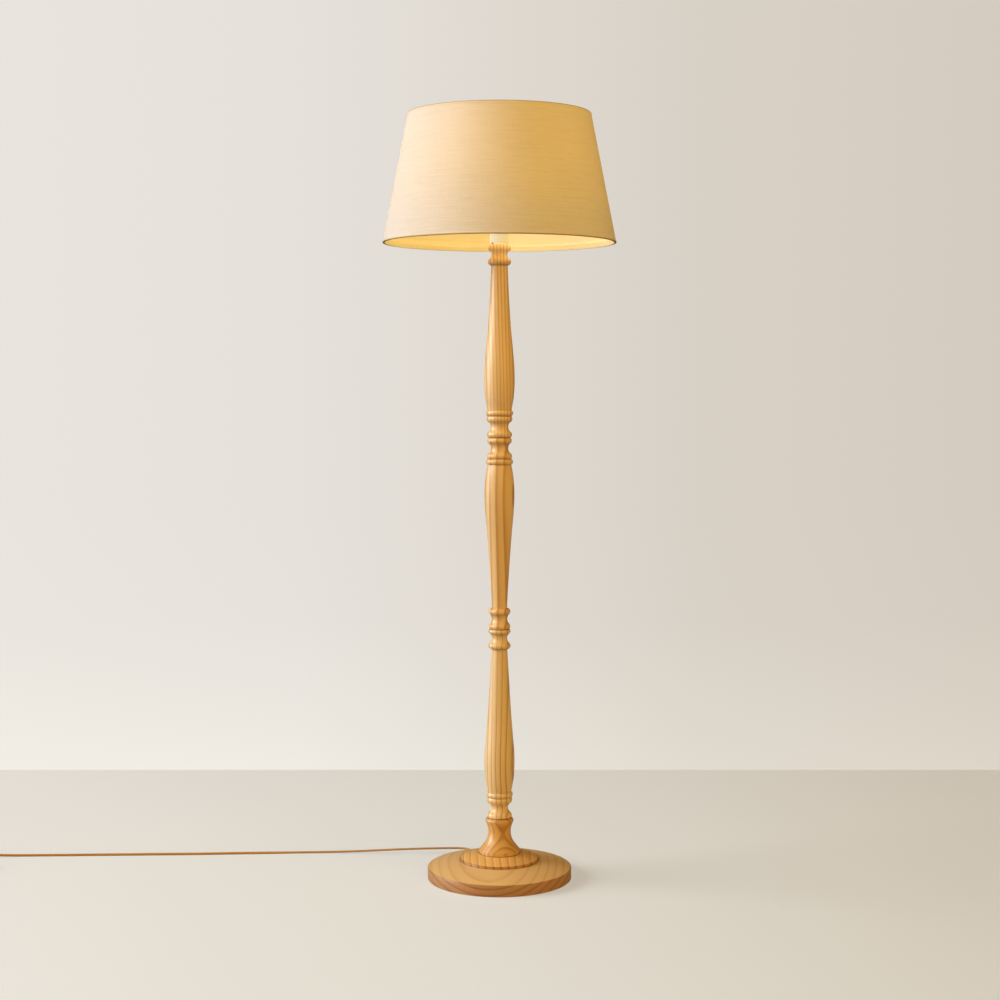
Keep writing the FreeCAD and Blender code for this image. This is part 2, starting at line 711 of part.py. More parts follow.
block_blank = cylinder("block_blank", "block_radius", "contact_block_height", "block_bottom")
terminals, terminal_holes = [], []
for side, sign in (("live", "-"), ("neutral", "")):
    x = f"{sign}terminal_spacing / 2"
    head = cylinder(f"{side}_screw_head", "terminal_head_radius", "terminal_head_height",
                    "block_bottom - terminal_head_height", x)
    shank = cylinder(f"{side}_screw_shank", "terminal_head_radius / 2", "contact_block_height - 1",
                     "block_bottom - slip", x)
    terminals.append(fuse(f"{side}_terminal", head, shank))
    terminal_holes.append(cylinder(f"{side}_terminal_hole", "terminal_head_radius / 2 + slip",
                                   "contact_block_height", "block_bottom - slip", x))
node(cut("contact_block", block_blank, *terminal_holes), "contact_block")
node(together("terminal_screws", terminals), "terminal_screws")
node(tube("thread_shell", "block_radius", "shell_inner", "screw_shell_height", "block_top"), "thread_shell")

strip = doc.addObject("Part::Box", "contact_strip")
bind(strip, Length="terminal_spacing - 4", Width="bulb_tip_radius", Height="centre_contact_height / 3")
stand(strip, "block_top", "2 - terminal_spacing / 2", "-bulb_tip_radius / 2")
contact_dome = cylinder("contact_dome", "bulb_tip_radius / 2", "centre_contact_height", "block_top")
node(fuse("centre_contact", strip, contact_dome), "centre_contact")

node(tube("shade_ring", "shade_ring_radius", "skirt_thread_radius + slip", "shade_ring_height",
          "carrier_plate_top"), "shade_ring")

# ---------------------------------------------------------------- tubes that follow a route

def route_edges(points, bend=None, report=None):
    """Straight runs joined by tangent arcs. With no bend given, each arc is as large as its runs allow."""
    points = [V(*p) for p in points]
    edges, start = [], points[0]
    for before, corner, after in zip(points, points[1:], points[2:]):
        into, out = (corner - before), (after - corner)
        turn = into.getAngle(out)
        reach = 0.45 * min(into.Length, out.Length) if bend is None else bend * math.tan(turn / 2)
        into.normalize()
        out.normalize()
        first, last = corner - into * reach, corner + out * reach
        radius = reach / math.tan(turn / 2)
        if report is not None:
            report.append(radius)
        middle = first + last
        middle.multiply(0.5)
        inward = (middle - corner)
        inward.normalize()
        crest = corner + inward * (radius / math.cos(turn / 2) - radius)
        edges.append(Part.LineSegment(start, first).toShape())
        edges.append(Part.Arc(first, crest, last).toShape())
        start = last
    edges.append(Part.LineSegment(start, points[-1]).toShape())
    return edges


def sweep_round(edges, radius):
    """One unbroken tube along joined edges."""
    path = Part.Wire(edges)
    first = edges[0]
    heading = first.tangentAt(first.FirstParameter)
    ring = Part.Wire(Part.makeCircle(radius, first.valueAt(first.FirstParameter), heading))
    made = path.makePipeShell([ring], True, False)
    length = sum(e.Length for e in edges)
    drift = made.Volume / (math.pi * radius ** 2 * length) - 1
    return made, length, drift


def tube_node(label, edges, radius, report=None):
    shape, length, drift = sweep_round(edges, radius)
    made = doc.addObject("Part::Feature", label)
    made.Shape = shape
    note = f", least radius {min(report):.1f}" if report else ""
    print(f"{label}: length {length:.1f}, volume off by {drift:.2%}{note}")
    if report:
        print("   radii", " ".join(f"{r:.0f}" for r in report))
    return node(made, label)


# The cable inside the lamp: along the drilled hole, up into the tube, and on to the lampholder.
CORD = mm("cord_radius")
bush_end = rim + mm("bush_flange_thickness") + mm("bush_tail_length")
bend = mm("cord_bend_radius")
cable_top = wood_top + mm("nipple_tail") + 1.0
tube_node("inner_cable", route_edges([
    polar(bush_end, exit_turn, exit_level), V(0, 0, exit_level), V(0, 0, cable_top),
], bend), CORD)

terminal_level = block_bottom - mm("terminal_head_height")
half_spacing = mm("terminal_spacing") / 2
wires = []
for sign in (-1, 1):
    wire_route = [(sign * 1.3, 0, cable_top), (sign * 1.3, 0, cable_top + 1.5),
                  (sign * half_spacing, 0, terminal_level - 1.6), (sign * half_spacing, 0, terminal_level)]
    wires.append(sweep_round(route_edges(wire_route), mm("wire_radius"))[0])
holder_wires = doc.addObject("Part::Feature", "holder_wires")
holder_wires.Shape = Part.makeCompound(wires)
node(holder_wires, "holder_wires")


def radial_lathe(name, corners, bends, start, direction):
    """A turned piece laid along a direction: its own axis starts at a point."""
    body = doc.addObject("PartDesign::Body", name)
    sketch = outline_sketch(body, corners, bends)
    spin(body, sketch)
    body.Placement = FreeCAD.Placement(start, FreeCAD.Rotation(UP, direction))
    return body


bush_flange_top = mm("bush_seat_depth") + mm("bush_flange_thickness")
write_sizes({
    "cord_fit": CORD + mm("slip"), "bush_flange_top": bush_flange_top,
    "bush_end": bush_flange_top + mm("bush_tail_length"),
})
node(radial_lathe("cord_bush", [
    (size("cord_fit"), axis()),
    (size("bush_seat_radius"), axis()),
    (size("bush_seat_radius"), size("bush_seat_depth")),
    (size("bush_flange_radius"), size("bush_seat_depth")),
    (size("bush_flange_radius"), size("bush_flange_top")),
    (size("bush_root_radius"), size("bush_flange_top")),
    (size("bush_tip_radius"), size("bush_end")),
    (size("cord_fit"), size("bush_end")),
], {}, polar(rim - mm("bush_seat_depth"), exit_turn, exit_level), outward), "cord_bush")

# ---------------------------------------------------------------- shade carrier

ring_level = carrier_top - mm("carrier_ring_wire_radius")
carrier_plate = node(tube("carrier_plate", "carrier_plate_radius", "skirt_thread_radius + 6 * slip",
                          "carrier_plate_thickness", "flange_top"), "carrier_plate")
carrier_ring = doc.addObject("Part::Torus", "carrier_ring")
bind(carrier_ring, Radius1="carrier_ring_radius", Radius2="carrier_ring_wire_radius")
node(stand(carrier_ring, "carrier_top - carrier_ring_wire_radius"), "carrier_ring")
stays = []
for number in range(3):
    turn = 30 + 120 * number
    low = flange_top + mm("carrier_plate_thickness") / 2
    foot = [polar(mm("carrier_plate_radius") - 0.3, turn, low), polar(mm("carrier_plate_radius") + 6, turn, low + 3),
            polar(mm("carrier_belly_radius"), turn, low + mm("carrier_belly_rise")),
            polar(mm("carrier_ring_radius"), turn, ring_level)]
    stay = doc.addObject("Part::Feature", f"carrier_stay_{number}")
    stay.Shape = sweep_round(route_edges(foot), mm("carrier_wire_radius"))[0]
    stays.append(cut(f"carrier_stay_{number}_fit", stay, carrier_plate, carrier_ring))
node(together("carrier_stays", stays), "carrier_stays")

# ---------------------------------------------------------------- bulb

glass_bottom = bulb_cap_top - mm("bulb_glass_sink")
cap_wall = mm("bulb_cap_wall")
thread = mm("bulb_thread_radius")
write_sizes({
    "bulb_cone_top": bulb_cap_bottom + mm("bulb_cap_cone"), "bulb_cap_inner": thread - cap_wall,
    "bulb_cap_floor": bulb_cap_bottom + cap_wall, "bulb_cone_inner": bulb_cap_bottom + mm("bulb_cap_cone") + 0.2,
    "bulb_cap_hole": mm("bulb_insulator_radius") - 0.6, "glass_bottom": glass_bottom,
    "glass_root": thread - cap_wall - mm("slip"), "glass_root_inner": thread - cap_wall - mm("slip") - mm("bulb_glass_wall"),
    "glass_inner": mm("bulb_glass_radius") - mm("bulb_glass_wall"), "glass_inner_top": bulb_top - mm("bulb_glass_wall"),
    "bulb_cap_shoulder": mm("bulb_insulator_radius") + 0.5,
})
node(cylinder("bulb_contact", "bulb_tip_radius", "bulb_tip_height", "bulb_bottom"), "bulb_contact")
node(cone("bulb_insulator", "bulb_tip_radius + 1", "bulb_insulator_radius", "bulb_insulator_height",
          "insulator_bottom"), "bulb_insulator")
node(lathe("bulb_cap", [
    (size("bulb_cap_hole"), size("bulb_cap_bottom")),
    (size("bulb_cap_shoulder"), size("bulb_cap_bottom")),
    (size("bulb_thread_radius"), size("bulb_cone_top")),
    (size("bulb_thread_radius"), size("bulb_cap_top")),
    (size("bulb_cap_inner"), size("bulb_cap_top")),
    (size("bulb_cap_inner"), size("bulb_cone_inner")),
    (size("bulb_cap_hole"), size("bulb_cap_floor")),
]), "bulb_cap")
bulb = mm("bulb_glass_radius")


def bulb_neck(wall):
    """Marks of the pear between its neck and its widest, for a skin set in by the wall."""
    rise = bulb_centre - bulb_cap_top
    return [(thread + 1.2 - wall, bulb_cap_top + 0.18 * rise), (thread + 6.0 - wall, bulb_cap_top + 0.40 * rise),
            (bulb - 4.3 - wall, bulb_cap_top + 0.64 * rise), (bulb - 0.8 - wall, bulb_cap_top + 0.86 * rise)]


skin = mm("bulb_glass_wall")
node(lathe("bulb_glass", [
    (size("glass_root_inner"), size("glass_bottom")),
    (size("glass_root"), size("glass_bottom")),
    (size("glass_root"), size("bulb_cap_top")),
    (size("bulb_glass_radius"), size("bulb_centre")),
    (axis(), size("bulb_top")),
    (axis(), size("glass_inner_top")),
    (size("glass_inner"), size("bulb_centre")),
    (size("glass_root_inner"), size("bulb_cap_top")),
], {
    2: bulb_neck(0.0),
    3: [round_mark(0, bulb_centre, bulb, 45)],
    5: [round_mark(0, bulb_centre, bulb - skin, 45)],
    6: list(reversed(bulb_neck(skin))),
}), "bulb_glass")

# ---------------------------------------------------------------- shade

slant = (mm("shade_bottom_across") - mm("shade_top_across")) / 2 / mm("shade_height")


def wall_at(level, depth):
    """The shade wall's radius at a level, set in from its outside by a depth."""
    return mm("shade_bottom_across") / 2 - slant * (level - shade_bottom) - depth


trim = mm("shade_trim_thickness")
cloth = trim + mm("shade_fabric_thickness")
lining = cloth + mm("shade_laminate_gap") + mm("shade_liner_thickness")
wire = mm("shade_wire_radius")
ring_depth = lining + wire + mm("slip")
ring_rise = trim + wire + 2 * mm("slip")
low_edge, high_edge = shade_bottom + trim + mm("shade_laminate_gap"), shade_top - trim - mm("shade_laminate_gap")
hem_depth = ring_depth + wire + mm("slip")
write_sizes({"cloth_low": low_edge, "cloth_high": high_edge})


def conical_skin(name, outer_depth, inner_depth):
    gap = mm("shade_laminate_gap")
    write_sizes({
        f"{name}_low_out": wall_at(low_edge, outer_depth + gap), f"{name}_low_in": wall_at(low_edge, inner_depth),
        f"{name}_high_out": wall_at(high_edge, outer_depth + gap), f"{name}_high_in": wall_at(high_edge, inner_depth),
    })
    return node(lathe(name, [
        (size(f"{name}_low_in"), size("cloth_low")),
        (size(f"{name}_low_out"), size("cloth_low")),
        (size(f"{name}_high_out"), size("cloth_high")),
        (size(f"{name}_high_in"), size("cloth_high")),
    ]), name)


conical_skin("shade_fabric", trim, cloth)
conical_skin("shade_liner", cloth, lining)


def hem(name, edge_level, inward):
    """A folded band over the edge: a short leg outside, a long one behind the wire."""
    tip, short, long = edge_level, edge_level + inward * mm("shade_trim_width"), edge_level + inward * mm("shade_hem_width")
    under = edge_level + inward * trim
    write_sizes({
        f"{name}_tip": tip, f"{name}_short": short, f"{name}_long": long, f"{name}_under": under,
        f"{name}_out": wall_at(tip, 0), f"{name}_out_short": wall_at(short, 0),
        f"{name}_in_short": wall_at(short, trim), f"{name}_in_under": wall_at(under, trim),
        f"{name}_back": wall_at(tip, hem_depth + trim), f"{name}_back_long": wall_at(long, hem_depth + trim),
        f"{name}_front_long": wall_at(long, hem_depth), f"{name}_front_under": wall_at(under, hem_depth),
    })
    return lathe(name, [
        (size(f"{name}_back"), size(f"{name}_tip")),
        (size(f"{name}_out"), size(f"{name}_tip")),
        (size(f"{name}_out_short"), size(f"{name}_short")),
        (size(f"{name}_in_short"), size(f"{name}_short")),
        (size(f"{name}_in_under"), size(f"{name}_under")),
        (size(f"{name}_front_under"), size(f"{name}_under")),
        (size(f"{name}_front_long"), size(f"{name}_long")),
        (size(f"{name}_back_long"), size(f"{name}_long")),
    ])


node(hem("bottom_hem", shade_bottom, 1), "shade_bottom_hem")
top_hem = hem("top_hem", shade_top, -1)

low_ring_level, high_ring_level = shade_bottom + ring_rise, shade_top - ring_rise
write_sizes({
    "low_ring_level": low_ring_level, "high_ring_level": high_ring_level,
    "low_ring_radius": wall_at(low_ring_level, ring_depth), "high_ring_radius": wall_at(high_ring_level, ring_depth),
})


def wire_ring(name, radius, level):
    made = doc.addObject("Part::Torus", name)
    bind(made, Radius1=radius, Radius2="shade_wire_radius")
    return stand(made, level)


node(wire_ring("shade_bottom_ring", "low_ring_radius", "low_ring_level"), "shade_bottom_ring")

lip_inner = mm("carrier_ring_radius") + mm("carrier_ring_wire_radius") + mm("seat_lip_gap")
write_sizes({
    "lip_inner": lip_inner, "lip_outer": lip_inner + mm("seat_lip_thickness"),
    "lip_bottom": seat_bottom - mm("seat_lip_height"), "seat_top": seat_bottom + mm("seat_thickness"),
})
seat = node(lathe("shade_seat", [
    (size("seat_inner_radius"), size("seat_bottom")),
    (size("lip_inner"), size("seat_bottom")),
    (size("lip_inner"), size("lip_bottom")),
    (size("lip_outer"), size("lip_bottom")),
    (size("lip_outer"), size("seat_top")),
    (size("seat_inner_radius"), size("seat_top")),
]), "shade_seat")
top_ring = node(wire_ring("shade_top_ring", "high_ring_radius", "high_ring_level"), "shade_top_ring")
arms, arm_slits = [], []
for number in range(3):
    turn = 90 + 120 * number
    start = polar(mm("lip_outer") - 0.3, turn, seat_bottom - 0.5)
    end = polar(mm("high_ring_radius"), turn, high_ring_level)
    write_sizes({f"arm_{number}_length": (end - start).Length})
    arm = along(f"shade_arm_{number}", "shade_arm_radius", f"arm_{number}_length", start, end - start)
    arms.append(cut(f"shade_arm_{number}_fit", arm, seat, top_ring))
    arm_slits.append(along(f"arm_slit_{number}", "shade_arm_radius + slip", f"arm_{number}_length", start, end - start))
node(together("shade_arms", arms), "shade_arms")
node(cut("shade_top_hem", top_hem, *arm_slits), "shade_top_hem")

# ---------------------------------------------------------------- foot switch

write_sizes({
    "switch_inner": mm("switch_radius") - mm("switch_wall"), "switch_crown_inner": mm("switch_crown_radius") - 1.0,
    "button_hole": mm("button_radius") + mm("running_gap"), "button_round_level": button_top - mm("button_edge_round"),
    "button_round_radius": mm("button_radius") - mm("button_edge_round"),
    "socket_top": button_bottom + mm("button_socket_depth"),
    "cover_shoulder": mm("switch_split_level") + 2.0, "base_edge_level": 1.2,
    "base_edge_radius": mm("switch_radius") - 1.2,
})
shell = {"x": "switch_x", "y": "switch_y"}
switch_base_blank = lathe("switch_base_blank", [
    (axis(), axis()),
    (size("base_edge_radius"), axis()),
    (size("switch_radius"), size("base_edge_level")),
    (size("switch_radius"), size("switch_split_level")),
    (size("switch_inner"), size("switch_split_level")),
    (size("switch_inner"), size("switch_floor")),
    (axis(), size("switch_floor")),
], **shell)
switch_centre = V(mm("switch_x"), mm("switch_y"), 0)
cord_level = V(0, 0, mm("switch_cord_level"))
sides = {"inlet": V(1, 0, 0), "outlet": V(-1, 0, 0)}
cord_ways = [along(f"switch_{side}_way", "sleeve_neck_radius + slip", "switch_wall + 2",
                   switch_centre + cord_level + way * (mm("switch_inner") - 1), way)
             for side, way in sides.items()]
posts, post_holes, cover_posts, cover_pilots, switch_screws = [], [], [], [], []
for number, offset in enumerate(("- switch_post_offset", "+ switch_post_offset")):
    y = f"switch_y {offset}"
    posts.append(cylinder(f"base_post_{number}", "switch_post_radius", "switch_split_level - switch_floor",
                          "switch_floor", "switch_x", y))
    post_holes.append(wood_screw(f"post_hole_{number}", "switch_split_level + slip", "floor + slip", "switch_x", y, "slip - 0.5"))
    cover_posts.append(cylinder(f"cover_post_{number}", "switch_post_radius", "cover_underside - switch_split_level + 5 * slip",
                                "switch_split_level", "switch_x", y))
    cover_pilots.append(cylinder(f"cover_pilot_{number}", "switch_screw_radius + slip", "5",
                                 "switch_split_level - slip", "switch_x", y))
    head = cone(f"switch_screw_head_{number}", "screw_head_radius - 0.6", "switch_screw_radius", "1.9", "floor + 3 * slip",
                "switch_x", y)
    shank = cylinder(f"switch_screw_shank_{number}", "switch_screw_radius", "switch_split_level + 4", "floor + 3 * slip",
                     "switch_x", y)
    switch_screws.append(fuse(f"switch_screw_{number}", head, shank))
switch_base = fuse("switch_base_posts", switch_base_blank, *posts)
sleeve_seats = [along(f"switch_{side}_seat", "sleeve_flange_radius + slip", "1.5 + 5 * slip",
                      switch_centre + cord_level + way * (mm("switch_inner") - 1.5 - 3 * mm("slip")), way)
                for side, way in sides.items()]
node(cut("switch_base", switch_base, *post_holes, *cord_ways, *sleeve_seats), "switch_base")

rise = mm("switch_top_level") - mm("cover_shoulder")
cover_blank = lathe("cover_blank", [
    (size("switch_inner"), size("switch_split_level")),
    (size("switch_radius"), size("switch_split_level")),
    (size("switch_radius"), size("cover_shoulder")),
    (size("switch_crown_radius"), size("switch_top_level")),
    (size("button_hole"), size("switch_top_level")),
    (size("button_hole"), size("cover_underside")),
    (size("switch_crown_inner"), size("cover_underside")),
    (size("switch_inner"), size("cover_shoulder")),
], {
    2: [(mm("switch_crown_radius") + 0.74 * (mm("switch_radius") - mm("switch_crown_radius")),
         mm("cover_shoulder") + 0.70 * rise)],
    6: [(mm("switch_crown_inner") + 0.74 * (mm("switch_inner") - mm("switch_crown_inner")),
         mm("cover_shoulder") + 0.70 * (cover_underside - mm("cover_shoulder")))],
}, **shell)
node(cut("switch_cover", fuse("cover_with_posts", cover_blank, *cover_posts), *cover_pilots), "switch_cover")
node(together("switch_screws", switch_screws), "switch_screws")

node(lathe("switch_button", [
    (axis(), size("socket_top")),
    (size("button_socket_radius"), size("socket_top")),
    (size("button_socket_radius"), size("button_bottom")),
    (size("button_flange_radius"), size("button_bottom")),
    (size("button_flange_radius"), size("button_flange_top")),
    (size("button_radius"), size("button_flange_top")),
    (size("button_radius"), size("button_round_level")),
    (size("button_round_radius"), size("button_top")),
    (axis(), size("button_top")),
], {6: [round_mark(mm("button_round_radius"), mm("button_round_level"), mm("button_edge_round"), 45)]},
    **shell), "switch_button")

block = doc.addObject("Part::Box", "switch_block_box")
bind(block, Length="switch_block_length", Width="switch_block_width", Height="switch_block_top - switch_floor")
stand(block, "switch_floor", "switch_x - switch_block_length / 2", "switch_y - switch_block_width / 2")
node(block, "switch_block")
contacts = []
for number, sign in enumerate(("-", "+")):
    plate = doc.addObject("Part::Box", f"switch_contact_{number}")
    bind(plate, Length="5", Width="6", Height="1")
    stand(plate, "switch_block_top", f"switch_x {sign} 9 - 2.5", "switch_y - 3")
    contacts.append(plate)
node(together("switch_contacts", contacts), "switch_contacts")


def arc_between(start, heading, end, ending):
    """Two circular arcs that leave one point and reach another in the given directions."""
    span = end - start
    total = heading + ending
    a = 2 * (1 - heading.dot(ending))
    b = 2 * span.dot(total)
    c = -span.dot(span)
    reach = -c / b if abs(a) < 1e-12 else (-b + math.sqrt(b * b - 4 * a * c)) / (2 * a)
    corners = (start + heading * reach, end - ending * reach)
    middle = (corners[0] + corners[1]) * 0.5
    made = []
    for first, corner, last in ((start, corners[0], middle), (middle, corners[1], end)):
        chord = (first + last) * 0.5
        up = corner - chord
        half = first.distanceToPoint(last) / 2
        lean = math.atan2(up.Length, half)
        crest = chord + up * (half * math.tan(lean / 2) / up.Length)
        made.append(Part.Arc(first, crest, last).toShape())
    return made


def helix_edges(centre, radius, pitch, turns):
    """A spring's wire, as arcs of a quarter turn each, with a flat first and last heading left out."""
    def at(quarter):
        turn = quarter * math.pi / 2
        place = centre + V(radius * math.cos(turn), radius * math.sin(turn), pitch * quarter / 4)
        way = V(-radius * math.sin(turn), radius * math.cos(turn), pitch / (2 * math.pi))
        way.normalize()
        return place, way
    edges = []
    for quarter in range(int(4 * turns)):
        edges += arc_between(*at(quarter), *at(quarter + 1))
    return edges


spring_wire = mm("spring_wire_radius")
spring_room = mm("socket_top") - mm("switch_block_top") - 2 * spring_wire - 2 * mm("slip")
spring_foot = switch_centre + V(0, 0, mm("switch_block_top") + spring_wire + mm("slip"))
tube_node("switch_spring", helix_edges(spring_foot, mm("spring_radius"), spring_room / mm("spring_turns"),
                                       mm("spring_turns")), spring_wire)

write_sizes({
    "sleeve_flange_top": 1.5, "sleeve_neck_top": 1.5 + mm("switch_wall") + 2 * mm("slip"),
    "sleeve_collar_top": 1.5 + mm("switch_wall") + 2 * mm("slip") + 2.0,
    "sleeve_end": 1.5 + mm("switch_wall") + 2 * mm("slip") + mm("sleeve_reach"),
})
sleeves = []
for side, way in sides.items():
    start = switch_centre + cord_level + way * (mm("switch_inner") - mm("sleeve_flange_top") - mm("slip"))
    sleeves.append(radial_lathe(f"switch_{side}_sleeve", [
        (size("cord_fit"), axis()),
        (size("sleeve_flange_radius"), axis()),
        (size("sleeve_flange_radius"), size("sleeve_flange_top")),
        (size("sleeve_neck_radius"), size("sleeve_flange_top")),
        (size("sleeve_neck_radius"), size("sleeve_neck_top")),
        (size("sleeve_collar_radius"), size("sleeve_neck_top")),
        (size("sleeve_collar_radius"), size("sleeve_collar_top")),
        (size("sleeve_tip_radius"), size("sleeve_end")),
        (size("cord_fit"), size("sleeve_end")),
    ], {}, start, way))
node(together("switch_sleeves", sleeves), "switch_sleeves")
sleeve_tip = mm("switch_inner") - mm("slip") + mm("sleeve_end") - mm("sleeve_flange_top")

# The two short ends of the cord inside the switch, from the contacts out through the sleeves.
stubs = []
for way in sides.values():
    inner = switch_centre + cord_level + way * (mm("switch_block_length") / 2 + mm("slip"))
    outer = switch_centre + cord_level + way * sleeve_tip
    stubs.append(Part.makeCylinder(CORD, (outer - inner).Length, inner, way))
switch_leads = doc.addObject("Part::Feature", "switch_leads")
switch_leads.Shape = Part.makeCompound(stubs)
node(switch_leads, "switch_leads")

# ---------------------------------------------------------------- free cord

entry_x = mm("switch_x") + sleeve_tip
exit_x = mm("switch_x") - sleeve_tip
LEAD = [
    tuple(polar(bush_end, exit_turn, exit_level)),
    tuple(polar(bush_end + 17.5, exit_turn, exit_level)), (-75.4, 177.9, 11.0), (-107.0, 179.0, 10.9), (-160.0, 177.2, 10.3), (-222.0, 176.4, 8.6),
    (-287.0, 177.6, 5.2), (-347.0, 180.4, 2.9), (-414.0, 178.4, 2.55), (-482.0, 173.4, 2.55), (-551.0, 169.4, 2.55),
    (-620.0, 164.8, 2.55), (-689.0, 162.9, 2.55), (-758.0, 160.1, 2.55), (-826.0, 158.3, 2.55), (-894.0, 155.3, 2.55),
    (-960.0, 153.4, 2.55), (-1011.0, 150.1, 3.2), (-1041.0, 148.0, 5.0), (entry_x, 148.0, 5.0),
]
LINK = [
    (exit_x, 148.0, 5.0), (-1175.3, 148.0, 5.0), (-1189.9, 139.4, 4.5), (-1197.9, 124.9, 4.0),
    (-1198.5, 111.3, 3.6), (-1198.5, 98.0, 3.6),
]
radii = []
tube_node("cord_lead", route_edges(LEAD, report=radii), CORD, radii)
radii = []
tube_node("cord_link", route_edges(LINK, report=radii), CORD, radii)


def coil_edges():
    """In over five half turns, up one layer in the sixth, and out again over four and a quarter."""
    pitch = 2 * CORD + mm("coil_turn_gap")
    x, y, z = mm("coil_start_x"), LINK[-1][1], mm("coil_level")
    edges = [Part.LineSegment(V(x, y, z), V(x, y - 2 * CORD, z)).toShape()]
    y -= 2 * CORD
    side = 1
    first = mm("coil_first_radius")
    radii = [first - pitch / 2 * k for k in range(5)]
    for radius in radii:
        edges.append(Part.Arc(V(x, y, z), V(x + side * radius, y - side * radius, z), V(x + 2 * side * radius, y, z)).toShape())
        x += 2 * side * radius
        side = -side
    radius = radii[-1] - pitch / 2
    centre = V(x - radius, y, z)
    rise = pitch
    top = centre + V(0, radius, rise / 2)
    across = V(-radius, 0, rise * 0.8)
    across.normalize()
    edges += arc_between(V(x, y, z), V(0, 1, 0), top, across)
    edges += arc_between(top, across, centre + V(-radius, 0, rise), V(0, -1, 0))
    x -= 2 * radius
    z += rise
    side = 1
    for radius in reversed(radii[1:]):
        edges.append(Part.Arc(V(x, y, z), V(x + side * radius, y - side * radius, z), V(x + 2 * side * radius, y, z)).toShape())
        x += 2 * side * radius
        side = -side
    lean = first * math.sqrt(0.5)
    edges.append(Part.Arc(V(x, y, z), V(x + first - lean, y - lean, z), V(x + first, y - first, z)).toShape())
    end = V(x + first, y - first, z)
    edges.append(Part.LineSegment(end, end + V(2 * CORD, 0, 0)).toShape())
    return edges, end + V(2 * CORD, 0, 0), radii


coil, coil_end, coil_radii = coil_edges()
tube_node("cord_coil", coil, CORD, coil_radii)


def least_gap(edges, radius, clear):
    """The least space between one stretch of a tube and the rest of itself, on points."""
    points, run = [], 0.0
    for e in edges:
        steps = max(2, int(e.Length / 1.5))
        for k in range(steps):
            spot_on = e.getParameterByLength(e.Length * k / steps)
            points.append((run + e.Length * k / steps, e.valueAt(spot_on)))
        run += e.Length
    least = 1e9
    for i, (here, a) in enumerate(points):
        for there, b in points[i + 1:]:
            if there - here > clear:
                least = min(least, a.distanceToPoint(b))
    return least - 2 * radius


print(f"cord_coil: least gap to itself {least_gap(coil, CORD, 40.0):.2f}")

plug_level = mm("plug_height") / 2
TAIL = [
    tuple(coil_end), tuple(coil_end + V(15.0, 0.0, 0.0)), tuple(coil_end + V(31.0, 0.9, -1.5)),
    (coil_end.x + 46.0, coil_end.y + 1.4, plug_level), (coil_end.x + 60.0, coil_end.y + 1.4, plug_level),
]
radii = []
tube_node("cord_tail", route_edges(TAIL, report=radii), CORD, radii)

# ---------------------------------------------------------------- coil ties

pitch = 2 * CORD + mm("coil_turn_gap")
first = mm("coil_first_radius")
band = mm("tie_band")
grip = CORD + 5 * mm("slip")
tie_top = mm("coil_level") + pitch + grip + band
half_width = V(mm("tie_width") / 2, mm("tie_width") / 2, 0)


def coil_tie(low, high, opening):
    """A flat band round the bundle of turns: a box with a box out of it."""
    wall = V(band, band, band)
    through = V(-2 * band * opening.x, -2 * band * opening.y, 0)
    low_in, high_in = low + wall + through, high - wall - through
    outside, inside = high - low, high_in - low_in
    return Part.makeBox(*outside, low).cut(Part.makeBox(*inside, low_in))


# One band over the turns at the coil's back, and one at its right.
coil_y = LINK[-1][1] - 2 * CORD
back_x = mm("coil_start_x") + first + pitch / 2
right_x = mm("coil_start_x") + 2 * first
back_low = V(back_x, coil_y + first - 2.5 * pitch - grip - band, 0)
back_high = V(back_x, coil_y + first - 0.5 * pitch + grip + band, tie_top)
right_low = V(right_x - 2 * pitch - grip - band, coil_y, 0)
right_high = V(right_x + grip + band, coil_y, tie_top)
across_x, across_y = V(half_width.x, 0, 0), V(0, half_width.y, 0)
ties = [
    coil_tie(back_low - across_x, back_high + across_x, V(1, 0, 0)),
    coil_tie(right_low - across_y, right_high + across_y, V(0, 1, 0)),
]
coil_ties = doc.addObject("Part::Feature", "coil_ties")
coil_ties.Shape = Part.makeCompound(ties)
node(coil_ties, "coil_ties")

# ---------------------------------------------------------------- plug

relief_start = V(*TAIL[-1])
plug_back = relief_start + V(mm("plug_relief_length"), 0, 0)
write_sizes({
    "relief_length": mm("plug_relief_length"), "half_width": mm("plug_width") / 2,
    "half_flat": mm("plug_flat_width") / 2, "half_edge": mm("plug_edge_height") / 2,
    "half_height": mm("plug_height") / 2, "plug_x": plug_back.x, "plug_y": plug_back.y, "plug_z": plug_back.z,
})
node(radial_lathe("plug_relief", [
    (size("cord_fit"), axis()),
    (size("plug_relief_tip"), axis()),
    (size("plug_relief_radius"), size("relief_length")),
    (size("cord_fit"), size("relief_length")),
], {}, relief_start, V(1, 0, 0)), "plug_relief")
plug_lead = doc.addObject("Part::Feature", "plug_lead")
plug_lead.Shape = Part.makeCylinder(CORD, mm("plug_relief_length"), relief_start, V(1, 0, 0))
node(plug_lead, "plug_lead")


def face_pad(name, points, length, placement):
    """A flat outline of named half sizes pushed out into a solid."""
    body = doc.addObject("PartDesign::Body", name)
    sketch = body.newObject("Sketcher::SketchObject", f"{name}_outline")
    sketch.AttachmentSupport = [(plane_of(body, "XY_Plane"), "")]
    sketch.MapMode = "FlatFace"
    for i, point in enumerate(points):
        sketch.addGeometry(Part.LineSegment(V(*point, 0), V(*points[(i + 1) % len(points)], 0)), False)
    for i in range(len(points)):
        sketch.addConstraint(Sketcher.Constraint("Coincident", i, 2, (i + 1) % len(points), 1))
    pad = body.newObject("PartDesign::Pad", f"{name}_pad")
    pad.Profile = sketch
    pad.setExpression("Length", formula(length))
    sketch.Visibility = False
    body.Placement = placement
    return body


